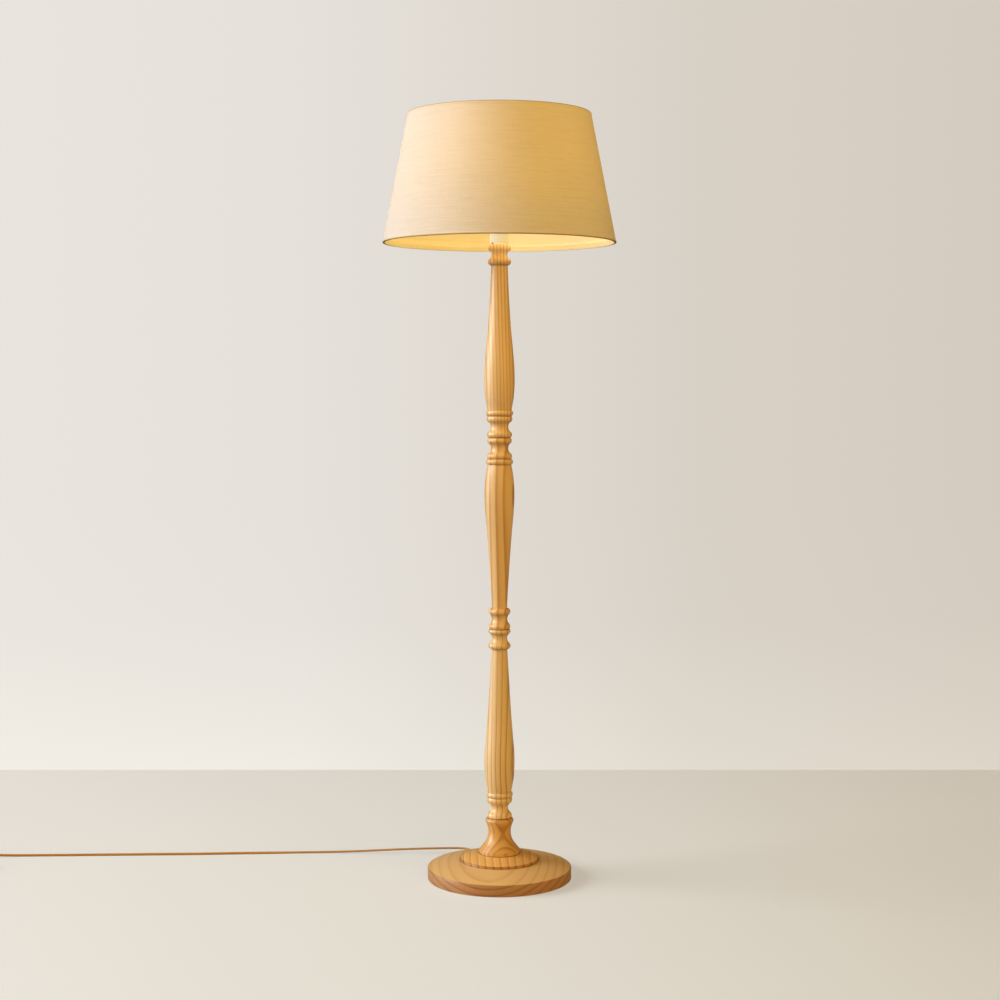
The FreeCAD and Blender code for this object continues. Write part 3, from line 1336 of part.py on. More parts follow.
wide, flat, edge_half, tall = mm("half_width"), mm("half_flat"), mm("half_edge"), mm("half_height")
long = mm("plug_length")
plan = [(0.0, -6.5), (0.28 * long, -0.70 * wide), (0.62 * long, -0.80 * wide), (0.84 * long, -wide), (long, -wide),
        (long, wide), (0.84 * long, wide), (0.62 * long, 0.80 * wide), (0.28 * long, 0.70 * wide), (0.0, 6.5)]
section = [(-wide, -edge_half), (-flat, -tall), (flat, -tall), (wide, -edge_half),
           (wide, edge_half), (flat, tall), (-flat, tall), (-wide, edge_half)]
plan_place = FreeCAD.Placement(plug_back - V(0, 0, tall), FreeCAD.Rotation())
section_place = FreeCAD.Placement(plug_back, FreeCAD.Rotation(V(0, 1, 0), V(0, 0, 1), V(1, 0, 0), "XYZ"))
plug_blank = doc.addObject("Part::MultiCommon", "plug_blank")
plug_blank.Shapes = [face_pad("plug_plan", plan, "plug_height", plan_place),
                     face_pad("plug_section", section, "plug_length", section_place)]
pins, pin_holes = [], []
for number, sign in enumerate((-1, 1)):
    root = plug_back + V(long - mm("pin_root"), sign * mm("pin_spacing") / 2, 0)
    pins.append(along(f"plug_pin_{number}", "pin_radius", "pin_root + pin_length", root, V(1, 0, 0)))
    pin_holes.append(along(f"pin_hole_{number}", "pin_radius + slip / 2", "pin_root + pin_length", root - V(0.1, 0, 0), V(1, 0, 0)))
node(cut("plug_body", plug_blank, *pin_holes), "plug_body")
node(together("plug_pins", pins), "plug_pins")

# ---------------------------------------------------------------- check and hand over

doc.recompute()
broken = [o.Name for o in doc.Objects if "Invalid" in o.State or "Error" in o.State]
if broken:
    raise RuntimeError(f"failed objects: {broken}")
for made in nodes:
    shape = made.Shape
    if shape.isNull() or not shape.isValid() or not shape.Solids:
        raise RuntimeError(f"bad shape: {made.Label}")
    shape.exportStep(f"parts/{made.Label}.step")
print(f"{len(nodes)} nodes, wood top {wood_top:.1f}, shade {shade_bottom:.1f} to {shade_top:.1f}")
print(f"cord ends at x {coil_end.x:.1f}, plug pins end at x {plug_back.x + long + mm('pin_length'):.1f}")
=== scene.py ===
import math

import bmesh
import bpy
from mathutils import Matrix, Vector


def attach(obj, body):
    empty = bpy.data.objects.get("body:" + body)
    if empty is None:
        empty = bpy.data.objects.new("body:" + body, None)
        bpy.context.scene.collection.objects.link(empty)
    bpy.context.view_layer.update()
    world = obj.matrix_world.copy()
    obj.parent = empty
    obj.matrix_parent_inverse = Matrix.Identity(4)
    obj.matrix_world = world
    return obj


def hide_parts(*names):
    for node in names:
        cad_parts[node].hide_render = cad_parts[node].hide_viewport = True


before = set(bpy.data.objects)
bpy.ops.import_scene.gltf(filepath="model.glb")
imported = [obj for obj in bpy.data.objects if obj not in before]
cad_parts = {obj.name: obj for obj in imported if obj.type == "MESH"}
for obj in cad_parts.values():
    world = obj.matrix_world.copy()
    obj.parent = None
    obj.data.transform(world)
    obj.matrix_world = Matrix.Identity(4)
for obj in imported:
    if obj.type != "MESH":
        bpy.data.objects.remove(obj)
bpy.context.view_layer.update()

# ------------------------------------------------------------------ sizes, in millimetres

MM = 0.001
BASE_RADIUS, BASE_FOOT, BASE_RIM_TOP, CROWN = 141.0, 0.4, 22.7, 36.0
PLINTH_RADIUS, PLINTH_TOP, PLINTH_FLAT = 76.2, 50.0, 40.8
BUSH_GAP, BUSH_LENGTH, BUSH_LEVEL = 1.5, 18.5, 11.0
FELT_RADIUS, FELT_THICK = 125.0, 1.45
WOOD_TOP = 1236.9
SHADE_LOW, SHADE_HIGH = 1239.6, 1485.1
SHADE_BOTTOM_RADIUS, SHADE_TOP_RADIUS = 225.0, 176.2
NOTCH_TURN, NOTCH_DEPTH, NOTCH_HALF_WIDTH, NOTCH_TOP = 216.0, 14.3, 2.26, 3.45


def let_go():
    """Nothing is selected, so an operator acts only on what is picked next."""
    if bpy.context.object and bpy.context.object.mode != "OBJECT":
        bpy.ops.object.mode_set(mode="OBJECT")
    bpy.ops.object.select_all(action="DESELECT")


def pick(piece):
    let_go()
    piece.select_set(True)
    bpy.context.view_layer.objects.active = piece
    return piece


# ------------------------------------------------------------------ camera

let_go()
bpy.ops.object.camera_add(location=(0.0010, -3.4553, 0.9693), rotation=(math.pi / 2 - 0.065, 0, 0))
camera = bpy.context.object
camera.name = "photo_camera"
camera.data.lens = 64.16
camera.data.sensor_width = 36.0
camera.data.clip_end = 60.0
bpy.context.scene.camera = camera

# ------------------------------------------------------------------ flex

EXIT_TURN = math.radians(110)
BUSH_END = (BASE_RADIUS + BUSH_GAP + BUSH_LENGTH) * MM
EXIT = (BUSH_END * math.cos(EXIT_TURN), BUSH_END * math.sin(EXIT_TURN), BUSH_LEVEL * MM)
FLEX_WIDTH = 5.0 * MM
FLEX_THICK = 4.0 * MM


def millimetres(points):
    return [tuple(c * MM for c in p) for p in points]


LEAD = [EXIT] + millimetres([
    (-61.05, 167.73, 11.0), (-75.4, 177.9, 11.0), (-107.0, 179.0, 10.9), (-160.0, 177.2, 10.3),
    (-222.0, 176.4, 8.4), (-287.0, 177.6, 4.9), (-347.0, 180.4, 2.5), (-414.0, 178.4, 2.05),
    (-482.0, 173.4, 2.4), (-551.0, 169.4, 2.52), (-620.0, 164.8, 2.52), (-689.0, 162.9, 2.52),
    (-758.0, 160.1, 2.52),
    (-826.0, 158.3, 2.52), (-894.0, 155.3, 2.52), (-960.0, 153.4, 2.52), (-1011.0, 150.1, 3.2),
    (-1041.0, 148.0, 5.0), (-1063.9, 148.0, 5.0),
])
LINK = [
    (-1160.1, 148.0, 5.0), (-1175.3, 148.0, 5.0), (-1189.9, 139.4, 4.5), (-1197.9, 124.9, 4.0),
    (-1198.5, 111.3, 3.6), (-1198.5, 98.0, 3.6),
]


def coil_points():
    """The tied coil: in over five half turns, up a layer in the sixth, and out again."""
    pitch, steps, outer = 5.8, 8, 35.0
    inmost = outer - pitch / 2 * 5
    x, y, low = -1198.5, 93.0, 3.6
    points = [(x, y, low)]
    radii = [outer - pitch / 2 * k for k in range(5)]
    halves = [(r, low, low) for r in radii] + [(inmost, low, low + pitch)]
    halves += [(r, low + pitch, low + pitch) for r in reversed(radii[1:])]
    side = 1
    for radius, z0, z1 in halves:
        centre = x + side * radius
        out = side * radius / math.cos(math.pi / steps / 2)
        for k in range(1, steps + 1):
            turn = math.pi * (k - 0.5) / steps
            level = z0 + (z1 - z0) * (k - 0.5) / steps
            points.append((centre - out * math.cos(turn), y - out * math.sin(turn), level))
        x += 2 * side * radius
        side = -side
    out = outer / math.cos(math.pi / steps / 2)
    for k in range(1, 5):
        turn = math.pi * (k - 0.5) / steps
        points.append((x + outer - out * math.cos(turn), y - out * math.sin(turn), low + pitch))
    end = (x + outer, y - outer, low + pitch)
    return points, end


coil, coil_end = coil_points()
ex, ey, ez = coil_end
TAIL = [(ex + 5.0, ey, ez), (ex + 20.0, ey, ez), (ex + 36.0, ey + 0.9, ez - 1.5), (ex + 51.0, ey + 1.4, 6.85),
        (ex + 65.0, ey + 1.4, 6.85)]


def flex(name, route, lean_of, body, **facts):
    """A twin flex along a smooth route: a waisted section that leans as it lies."""
    line = bpy.data.curves.new(name + "_line", "CURVE")
    line.dimensions = "3D"
    line.resolution_u = 10
    spline = line.splines.new("NURBS")
    spline.points.add(len(route) - 1)
    for point, place in zip(spline.points, route):
        point.co = (*place, 1.0)
    spline.order_u = 3
    spline.use_endpoint_u = True
    guide = bpy.data.objects.new(name + "_guide", line)
    bpy.context.collection.objects.link(guide)
    bpy.context.view_layer.update()
    sampled = bpy.data.meshes.new_from_object(guide)
    path = [v.co.copy() for v in sampled.vertices]
    bpy.data.objects.remove(guide)
    sides = 16
    shape = bmesh.new()
    uv_layer = shape.loops.layers.uv.new("along")
    rings, run, runs = [], 0.0, []
    for i, here in enumerate(path):
        ahead = path[min(i + 1, len(path) - 1)] - path[max(i - 1, 0)]
        ahead.normalize()
        side = ahead.cross(Vector((0, 0, 1)))
        side.normalize()
        up = side.cross(ahead)
        if i:
            run += (here - path[i - 1]).length
        runs.append(run)
        lean = lean_of(here)
        wide = side * math.cos(lean) + up * math.sin(lean)
        tall = up * math.cos(lean) - side * math.sin(lean)
        ring = []
        for k in range(sides):
            turn = 2 * math.pi * k / sides
            a, b = math.cos(turn), math.sin(turn)
            waist = 1.0 - 0.16 * math.exp(-(a / 0.28) ** 2)
            across, deep = FLEX_WIDTH / 2 * a, FLEX_THICK / 2 * b * waist
            ring.append(shape.verts.new(here + wide * across + tall * deep))
        rings.append(ring)
    for i in range(len(rings) - 1):
        for k in range(sides):
            n = (k + 1) % sides
            face = shape.faces.new((rings[i][k], rings[i + 1][k], rings[i + 1][n], rings[i][n]))
            face.smooth = True
            marks = ((runs[i], k), (runs[i + 1], k), (runs[i + 1], k + 1), (runs[i], k + 1))
            for loop, (u, v) in zip(face.loops, marks):
                loop[uv_layer].uv = (u, v / sides)
    shape.faces.new(rings[0])
    shape.faces.new(list(reversed(rings[-1])))
    bmesh.ops.recalc_face_normals(shape, faces=shape.faces)
    mesh = bpy.data.meshes.new(name)
    shape.to_mesh(mesh)
    shape.free()
    piece = bpy.data.objects.new(name, mesh)
    bpy.context.collection.objects.link(piece)
    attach(piece, body)
    return piece


def lead_lean(place):
    """Flat near the lamp, and on its edge past a slow quarter twist."""
    part = min(max((-place.x - 0.40) / 0.14, 0.0), 1.0)
    return math.pi / 2 * part * part * (3 - 2 * part)


SWITCH = ["switch_base", "switch_cover", "switch_button", "switch_spring", "switch_block", "switch_contacts",
          "switch_screws", "switch_leads", "switch_sleeves"]
lead = flex("flex_lead", LEAD, lead_lean, "lamp", length=1.024, far_end="fitting", lay="loose",
            with_pieces=SWITCH)
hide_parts("cord_lead")
rest_of_flex = flex("flex_coil", millimetres(LINK[:-1] + coil + TAIL), lambda place: math.pi / 2, "lamp",
                    length=1.068, far_end="plug", lay="coiled",
                    with_pieces=["plug_body", "plug_relief", "plug_pins", "plug_lead", "coil_ties"])
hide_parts("cord_link", "cord_coil", "cord_tail")

# ------------------------------------------------------------------ finishes

class Wire:
    """A number that varies over a surface. Arithmetic on it adds the nodes."""

    def __init__(self, tree, socket):
        self.tree = tree
        self.socket = socket

    def maths(self, operation, first, second=None):
        made = self.tree.nodes.new("ShaderNodeMath")
        made.operation = operation
        for place, value in zip(made.inputs, (first, second)):
            if isinstance(value, Wire):
                self.tree.links.new(value.socket, place)
            elif value is not None:
                place.default_value = value
        return Wire(self.tree, made.outputs[0])

    def __add__(self, other):
        return self.maths("ADD", self, other)

    def __radd__(self, other):
        return self.maths("ADD", other, self)

    def __sub__(self, other):
        return self.maths("SUBTRACT", self, other)

    def __rsub__(self, other):
        return self.maths("SUBTRACT", other, self)

    def __mul__(self, other):
        return self.maths("MULTIPLY", self, other)

    def __rmul__(self, other):
        return self.maths("MULTIPLY", other, self)

    def __truediv__(self, other):
        return self.maths("DIVIDE", self, other)

    def __rtruediv__(self, other):
        return self.maths("DIVIDE", other, self)

    def __pow__(self, other):
        return self.maths("POWER", self, other)

    def __rpow__(self, other):
        return self.maths("POWER", other, self)

    def apply(self, operation):
        return self.maths(operation, self)

    def above(self, other):
        return self.maths("MAXIMUM", self, other)

    def below(self, other):
        return self.maths("MINIMUM", self, other)

    def over(self, other):
        """One where it is greater, and nought elsewhere."""
        return self.maths("GREATER_THAN", self, other)

    def under(self, other):
        return self.maths("LESS_THAN", self, other)


class Finish:
    """One material, built node by node."""

    def __init__(self, name):
        self.material = bpy.data.materials.new(name)
        self.material.use_nodes = True
        self.tree = self.material.node_tree
        self.tree.nodes.clear()

    def node(self, kind, settings=None, values=None, out=0):
        """A node of that kind, its settings first, then its sockets' values or links."""
        made = self.tree.nodes.new("ShaderNode" + kind)
        for name, value in (settings or {}).items():
            if name == "stops":
                ramp = made.color_ramp
                while len(ramp.elements) < len(value):
                    ramp.elements.new(0.5)
                for stop, (place, colour) in zip(ramp.elements, value):
                    stop.position = place
                    stop.color = (*colour, 1.0)
            else:
                setattr(made, name, value)
        for name, value in (values or {}).items():
            place = made.inputs[name]
            if isinstance(value, Wire):
                self.tree.links.new(value.socket, place)
            else:
                place.default_value = value
        return Wire(self.tree, made.outputs[out]) if made.outputs else None

    def coordinates(self, kind="Object"):
        if kind == "Object":
            return self.node("TexCoord", out=3)
        return self.node("UVMap", {"uv_map": kind})

    def parts(self, vector):
        split = self.node("SeparateXYZ", values={"Vector": vector})
        outputs = split.socket.node.outputs
        return [Wire(self.tree, s) for s in outputs]

    def join(self, x, y, z):
        return self.node("CombineXYZ", values={"X": x, "Y": y, "Z": z})

    def noise(self, vector, scale, detail=2.0, rough=0.5):
        return self.node("TexNoise", values={"Vector": vector, "Scale": scale, "Detail": detail,
                                             "Roughness": rough})

    def blend(self, amount, low, high, way="MIX"):
        """Two colours mixed by a mask."""
        return self.node("Mix", {"data_type": "RGBA", "blend_type": way},
                         {0: amount, 6: low, 7: high}, out=2)

    def ramp(self, amount, stops):
        return self.node("ValToRGB", {"stops": stops}, {"Fac": amount})

    def curve(self, amount, stops):
        """A number that runs through the stops."""
        grey = self.ramp(amount, [(place, (level, level, level)) for place, level in stops])
        return self.node("SeparateColor", values={"Color": grey})

    def bump(self, height, strength, distance):
        return self.node("Bump", values={"Height": height, "Strength": strength, "Distance": distance})

    def surface(self, **values):
        """The shader itself, by its sockets' names with words joined by underscores."""
        shader = self.node("BsdfPrincipled", values={n.replace("_", " "): v for n, v in values.items()})
        self.node("OutputMaterial", values={"Surface": shader})
        return self.material


def colour(r, g, b):
    return (r, g, b, 1.0)


def bands(f, step, late):
    """How far the late wood has darkened at each part of a ring: slowly up, and off at once."""
    return f.curve(step, [(0.0, 0.0), (1.0 - late, 0.06), (1.0 - late * 0.55, 0.42),
                          (1.0 - late * 0.32, 0.95), (0.97, 1.0), (1.0, 0.05)])


def from_axis(x, y):
    """How far a place is from the column's axis."""
    return (x ** 2.0 + y ** 2.0).apply("SQRT")


def pine(name, axis, pith, spacing, mark, late, contrast, wander, lean=(0.0, 0.0), tint=(1.0, 1.0, 1.0),
         rim=None, pale_line=0.0, grooves=(), contact_shadow_radius=None, under_shade=None):
    """Varnished pine. Its rings are cylinders round a pith line along the axis, and one ends at the mark.

    Lengths are in metres, but the grooves are (height, half width, strength) in millimetres, each a band of
    painted shade in a groove or at a joint between pieces. The late wood is the dark share of a ring, and
    lean is a height and the rings' slope there. The rim is the radius of a disc whose side is darker, and the
    contact shadow radius is where a painted shadow line lies, where the next piece stands on this one. From
    under_shade up, the wood has
    painted light: an emission of its own colour, stronger towards the top, stands in for the lit shade's
    light on it.
    """
    f = Finish(name)
    place = f.coordinates()
    x, y, z = f.parts(place)
    along, a, b = (z, x, y) if axis == "Z" else (y, x, z)
    slow = f.noise(f.join(a, b, along * 0.22), 9.0, 2.0) - 0.5
    radius = ((a - pith[0]) ** 2.0 + (b - pith[1]) ** 2.0).apply("SQRT")
    level, slope = lean
    ring = (radius - mark - (along - level) * slope) / spacing + slow * (2.0 * wander)
    step = ring.apply("FRACT")
    patch = f.noise(f.join(a, b, along * 0.12), 26.0, 1.0)
    strength = bands(f, step, late) * (patch * 0.9 + 0.45) * contrast
    stretched = f.join(a, b, along * 0.03)
    fine = f.noise(stretched, 950.0, 2.0) - 0.5
    broad = f.noise(stretched, 210.0, 2.0) - 0.5
    mask = strength + fine * 0.22 + broad * 0.20
    mask = mask.above(0.0).below(1.0)
    light = tuple(c * k for c, k in zip((0.93, 0.60, 0.255), tint))
    dark = tuple(c * k for c, k in zip((0.55, 0.235, 0.060), tint))
    base = f.blend(mask, colour(*light), colour(*dark))
    cloud = f.noise(f.join(a, b, along * 0.4), 14.0, 2.0)
    base = f.blend(cloud * 0.45, base, colour(*(c * k for c, k in zip(light, (0.92, 0.84, 0.72)))))
    if pale_line:
        pale = f.curve(step, [(0.0, 1.0), (0.06, 1.0), (0.15, 0.0), (1.0, 0.0)])
        base = f.blend(pale * pale_line, base, colour(1.0, 0.76, 0.44))
    if rim:
        edge = f.curve(from_axis(x, y) / rim, [(0.0, 0.0), (0.985, 0.0), (0.996, 1.0), (1.0, 1.0)])
        side = f.blend((mask * 1.8).below(1.0), colour(0.50, 0.205, 0.060), colour(0.19, 0.062, 0.014))
        base = f.blend(edge * 0.85, base, side)
    # Painted shade: dark bands in the grooves, at the joints and round where the next piece stands, with less
    # coat there.
    painted_shade = None
    if contact_shadow_radius:
        painted_shade = (1.0 - (from_axis(x, y) - contact_shadow_radius).apply("ABSOLUTE") / 0.0022).above(0.0) * 0.8
    for height, half, depth in grooves:
        shade = (1.0 - (z - height * MM).apply("ABSOLUTE") / (half * MM)).above(0.0) * depth
        painted_shade = shade if painted_shade is None else painted_shade.above(shade)
    coat = 0.7
    if painted_shade:
        base = f.blend(painted_shade, base, colour(0.14, 0.042, 0.008))
        coat = (1.0 - painted_shade) * coat
    # Painted light under the shade: an emission of the wood's own colour, rising towards the top.
    glow = colour(0.0, 0.0, 0.0)
    if under_shade:
        rise = ((z - under_shade) / (WOOD_TOP * MM - under_shade)).above(0.0).below(1.0)
        lit = f.blend(1.0, base, colour(0.46, 0.40, 0.26), "MULTIPLY")
        glow = f.blend(rise * rise, glow, lit)
    height = mask * 0.4 + fine * 0.6
    return f.surface(Base_Color=base, Roughness=mask * 0.10 + 0.42, Coat_Weight=coat, Coat_Roughness=0.40,
                     Emission_Color=glow, Emission_Strength=1.0, Normal=f.bump(height, 0.10, 0.0004))


def plastic(name, base, rough=0.35, speck=0.03):
    f = Finish(name)
    place = f.coordinates()
    mottle = f.noise(place, 160.0, 2.0)
    tone = f.blend(mottle * 0.5, colour(*base), colour(*(c * (1 - 3 * speck) for c in base)))
    return f.surface(Base_Color=tone, Roughness=mottle * 0.12 + (rough - 0.06),
                     Normal=f.bump(f.noise(place, 1400.0, 1.0), 0.05, 0.0002))


def metal(name, base, rough=0.3):
    f = Finish(name)
    place = f.coordinates()
    wear = f.noise(place, 220.0, 3.0)
    tone = f.blend(wear * 0.6, colour(*base), colour(*(c * 0.82 for c in base)))
    return f.surface(Base_Color=tone, Metallic=1.0, Roughness=wear * 0.2 + (rough - 0.1))


def weave_of(f, u, v, pitch):
    """Plain weave: over and under along both threads."""
    warp = (u * (math.pi / pitch)).apply("SINE")
    weft = (v * (math.pi / pitch)).apply("SINE")
    return warp * weft * 0.5 + 0.5


def linen(name, base, glow, edges=False, inner=False):
    """Linen laminated on a stiff lining, lit through from inside. Its map is in metres, round and up.

    The glow is painted light: an emission stands in for the bulb's light through the cloth and on the lining.
    The inner face's painted glow is paler and brighter to the right, where the side lamp's light falls
    inside, and edges puts a dark line along the shade's two rims: painted shade on the rolled edge, whose
    doubled cloth over the wire also passes less light.
    """
    f = Finish(name)
    u, v, _ = f.parts(f.coordinates("cloth"))
    over = weave_of(f, u, v, 0.00062)
    slub_round = f.noise(f.join(u * 28.0, v * 900.0, 0.0), 1.0, 2.0) - 0.5
    slub_up = f.noise(f.join(u * 900.0, v * 40.0, 3.0), 1.0, 2.0) - 0.5
    wide_round = f.noise(f.join(u * 9.0, v * 260.0, 7.0), 1.0, 1.0) - 0.5
    cloud = f.noise(f.join(u * 7.0, v * 7.0, 1.0), 1.0, 2.0) - 0.5
    thread = slub_round * 0.9 + slub_up * 0.55 + wide_round * 0.5
    tone = thread * 0.22 + cloud * 0.10 + (over - 0.5) * 0.10 + 1.0
    x, _, z = f.parts(f.coordinates())
    up = (z - SHADE_LOW * MM) / ((SHADE_HIGH - SHADE_LOW) * MM)
    # Painted light: inside, the glow is paler and brighter to the right; outside, it is weakest at the bottom
    # and strongest a little above the middle.
    if inner:
        fall = f.ramp((x + 0.2) / 0.4, [(0.0, (0.76, 0.73, 0.44)), (0.40, (0.80, 0.79, 0.64)),
                                        (0.58, (1.0, 1.08, 1.5)), (1.0, (1.02, 1.16, 1.9))])
    else:
        fall = f.curve(up, [(0.0, 0.35), (0.15, 0.50), (0.35, 0.80), (0.58, 1.0), (0.85, 1.0), (1.0, 0.90)])
        fall = f.join(fall, fall, fall)
    base_tone = f.blend(1.0, colour(*base), f.join(tone, tone, tone), "MULTIPLY")
    power = thread * 0.40 + cloud * 0.12 + 1.0
    glow_tone = f.blend(1.0, colour(*glow), f.join(power, power, power), "MULTIPLY")
    glow_tone = f.blend(1.0, glow_tone, fall, "MULTIPLY")
    # Painted shade along both rims: darker cloth, and no glow where the doubled cloth over the wire passes
    # less light.
    if edges:
        near = f.curve(up, [(0.0, 1.0), (0.005, 1.0), (0.010, 0.0), (0.992, 0.0), (0.996, 1.0), (1.0, 1.0)])
        base_tone = f.blend(near * 0.75, base_tone, colour(0.40, 0.26, 0.12))
        glow_tone = f.blend(near * 0.75, glow_tone, colour(0.0, 0.0, 0.0))
    height = over * 0.5 + thread * 0.6
    return f.surface(Base_Color=base_tone, Roughness=0.85, Sheen_Weight=0.15, Sheen_Roughness=0.5,
                     Emission_Color=glow_tone, Emission_Strength=1.0, Normal=f.bump(height, 0.25, 0.0003))


def lampholder_plastic(name):
    """Cream thermoplastic with painted light: an emission, whiter to the left and warmer to the right, stands
    in for the light on it. A dark patch in its foot is painted shade in the cable notch.
    """
    f = Finish(name)
    place = f.coordinates()
    x, y, z = f.parts(place)
    mottle = f.noise(place, 160.0, 2.0)
    tone = f.blend(mottle * 0.5, colour(0.86, 0.83, 0.74), colour(0.80, 0.76, 0.66))
    # Painted light: an emission, whiter to the left and warmer to the right, stands in for the light on the
    # plastic.
    glow = f.ramp((x + 0.024) / 0.048, [(0.10, (0.50, 0.50, 0.46)), (0.5, (0.36, 0.33, 0.20)),
                                        (0.90, (0.32, 0.23, 0.06))])
    # Painted shade: a dark patch without glow stands in for the shade inside the cable notch at the foot.
    turn = math.radians(NOTCH_TURN)
    out = x * math.cos(turn) + y * math.sin(turn)
    aside = (y * math.cos(turn) - x * math.sin(turn)).apply("ABSOLUTE")
    notch_shade = out.over(NOTCH_DEPTH * MM) * aside.under(NOTCH_HALF_WIDTH * MM)
    notch_shade = notch_shade * z.under((WOOD_TOP + NOTCH_TOP) * MM)
    tone = f.blend(notch_shade, tone, colour(0.10, 0.045, 0.015))
    glow = f.blend(notch_shade, glow, colour(0.0, 0.0, 0.0))
    return f.surface(Base_Color=tone, Roughness=mottle * 0.12 + 0.30, Emission_Color=glow,
                     Emission_Strength=1.0, Normal=f.bump(f.noise(place, 1400.0, 1.0), 0.05, 0.0002))


FINISHES = {
    "base": pine("pine_base", "Y", (-0.026, 0.180), 0.0124, 0.1552, late=0.50, contrast=0.45, wander=0.22,
                 tint=(1.06, 1.11, 1.15), rim=0.141, contact_shadow_radius=0.0768),
    "plinth": pine("pine_plinth", "Y", (-0.60, -0.10), 0.0142, 0.6210, late=0.55, contrast=0.70, wander=0.10,
                   tint=(1.04, 0.96, 0.66), rim=0.0762, pale_line=0.75, contact_shadow_radius=0.0405),
    "foot": pine("pine_foot", "Z", (0.0775, -0.2375), 0.0089, 0.2284, late=0.60, contrast=0.95, wander=0.12,
                 tint=(0.82, 0.74, 0.47), grooves=[(50.0, 1.3, 0.9), (120.5, 1.4, 0.95)]),
    "lower": pine("pine_lower", "Z", (-0.582, 0.150), 0.0092, 0.6024, late=0.42, contrast=1.10, wander=0.10,
                  tint=(1.01, 1.13, 1.30), grooves=[(120.5, 1.2, 0.9), (160.9, 1.5, 0.5), (171.5, 1.4, 0.3),
                                                   (451.0, 1.6, 0.15), (492.5, 1.2, 0.9)]),
    "middle": pine("pine_middle", "Z", (0.475, -0.155), 0.0139, 0.4994, late=0.70, contrast=1.10, wander=0.10,
                   tint=(1.05, 1.12, 1.16), grooves=[(492.5, 1.2, 0.9), (534.0, 1.5, 0.2), (813.0, 1.5, 0.2),
                                                     (824.5, 1.6, 0.5), (865.5, 1.2, 0.95)]),
    "upper": pine("pine_upper", "Z", (0.50, 0.0), 0.0064, 0.5022, late=0.55, contrast=0.85, wander=0.12,
                  lean=(1.05, 0.024), tint=(1.05, 1.14, 1.28), under_shade=1.190,
                  grooves=[(865.5, 1.2, 0.95), (907.4, 1.6, 0.6), (918.5, 1.5, 0.3), (1196.5, 1.6, 0.1)]),
    "linen": linen("linen_cloth", (0.81, 0.75, 0.67), (0.187, 0.088, 0.0)),
    "trim": linen("linen_trim", (0.82, 0.73, 0.60), (0.187, 0.092, 0.002), edges=True),
    "liner": linen("shade_lining", (0.60, 0.55, 0.46), (0.67, 0.42, 0.115), inner=True),
    "cream": plastic("cream_plastic", (0.86, 0.83, 0.74), 0.35),
    "holder": lampholder_plastic("holder_cream"),
    "gold": plastic("gold_plastic", (0.42, 0.22, 0.055), 0.30),
    "flex": plastic("gold_flex", (0.66, 0.35, 0.065), 0.32),
    "steel": metal("zinc_steel", (0.60, 0.60, 0.60), 0.35),
    "brass": metal("bare_brass", (0.80, 0.58, 0.26), 0.30),
    "white": plastic("white_coat", (0.82, 0.80, 0.74), 0.40),
    "felt": plastic("dark_felt", (0.030, 0.020, 0.013), 0.95),
    "ceramic": plastic("steatite", (0.85, 0.83, 0.78), 0.5),
}


def dress(node_name, finish):
    material = FINISHES[finish] if isinstance(finish, str) else finish
    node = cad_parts[node_name]
    node.data.materials.clear()
    node.data.materials.append(material)


def lit_glass():
    f = Finish("opal_glass")
    frost = f.noise(f.coordinates(), 60.0, 2.0)
    glow = f.blend(frost * 0.3, colour(1.0, 0.80, 0.48), colour(1.0, 0.72, 0.38))
    return f.surface(Base_Color=colour(0.95, 0.92, 0.85), Roughness=0.3, Emission_Color=glow,
                     Emission_Strength=6.0)


for part, finish in {
    "base_disc": "base", "plinth_disc": "plinth", "flared_foot": "foot", "lower_column": "lower",
    "middle_column": "middle", "upper_column": "upper", "felt_pad": "felt", "ballast_plate": "steel",
    "ballast_screws": "steel", "plinth_screws": "steel", "tie_tube": "steel", "tie_washer": "steel",
    "tie_nut": "steel", "threaded_inserts": "steel", "joint_studs": "steel",
    "holder_nipple": "steel", "nipple_lock_nut": "steel", "inner_cable": "flex", "holder_wires": "cream",
    "holder_cap": "holder", "holder_skirt": "holder", "shade_ring": "holder", "contact_block": "ceramic",
    "centre_contact": "brass", "terminal_screws": "brass", "thread_shell": "brass", "carrier_plate": "white",
    "carrier_ring": "white", "carrier_stays": "white", "shade_seat": "white", "shade_arms": "white",
    "shade_top_ring": "white", "shade_bottom_ring": "white", "shade_fabric": "linen", "shade_liner": "liner",
    "shade_top_hem": "linen", "shade_bottom_hem": "linen", "bulb_contact": "steel",
    "bulb_insulator": "felt", "bulb_cap": "steel", "cord_bush": "gold", "switch_leads": "flex",
    "plug_lead": "flex", "coil_ties": "cream",
    "switch_base": "gold", "switch_cover": "gold", "switch_button": "gold", "switch_sleeves": "gold",
    "switch_block": "ceramic", "switch_contacts": "brass", "switch_spring": "steel",
    "switch_screws": "steel", "plug_body": "gold", "plug_relief": "gold", "plug_pins": "brass",
}.items():
    dress(part, finish)
dress("bulb_glass", lit_glass())
for piece in (lead, rest_of_flex):
    piece.data.materials.append(FINISHES["flex"])

# ------------------------------------------------------------------ turned wood

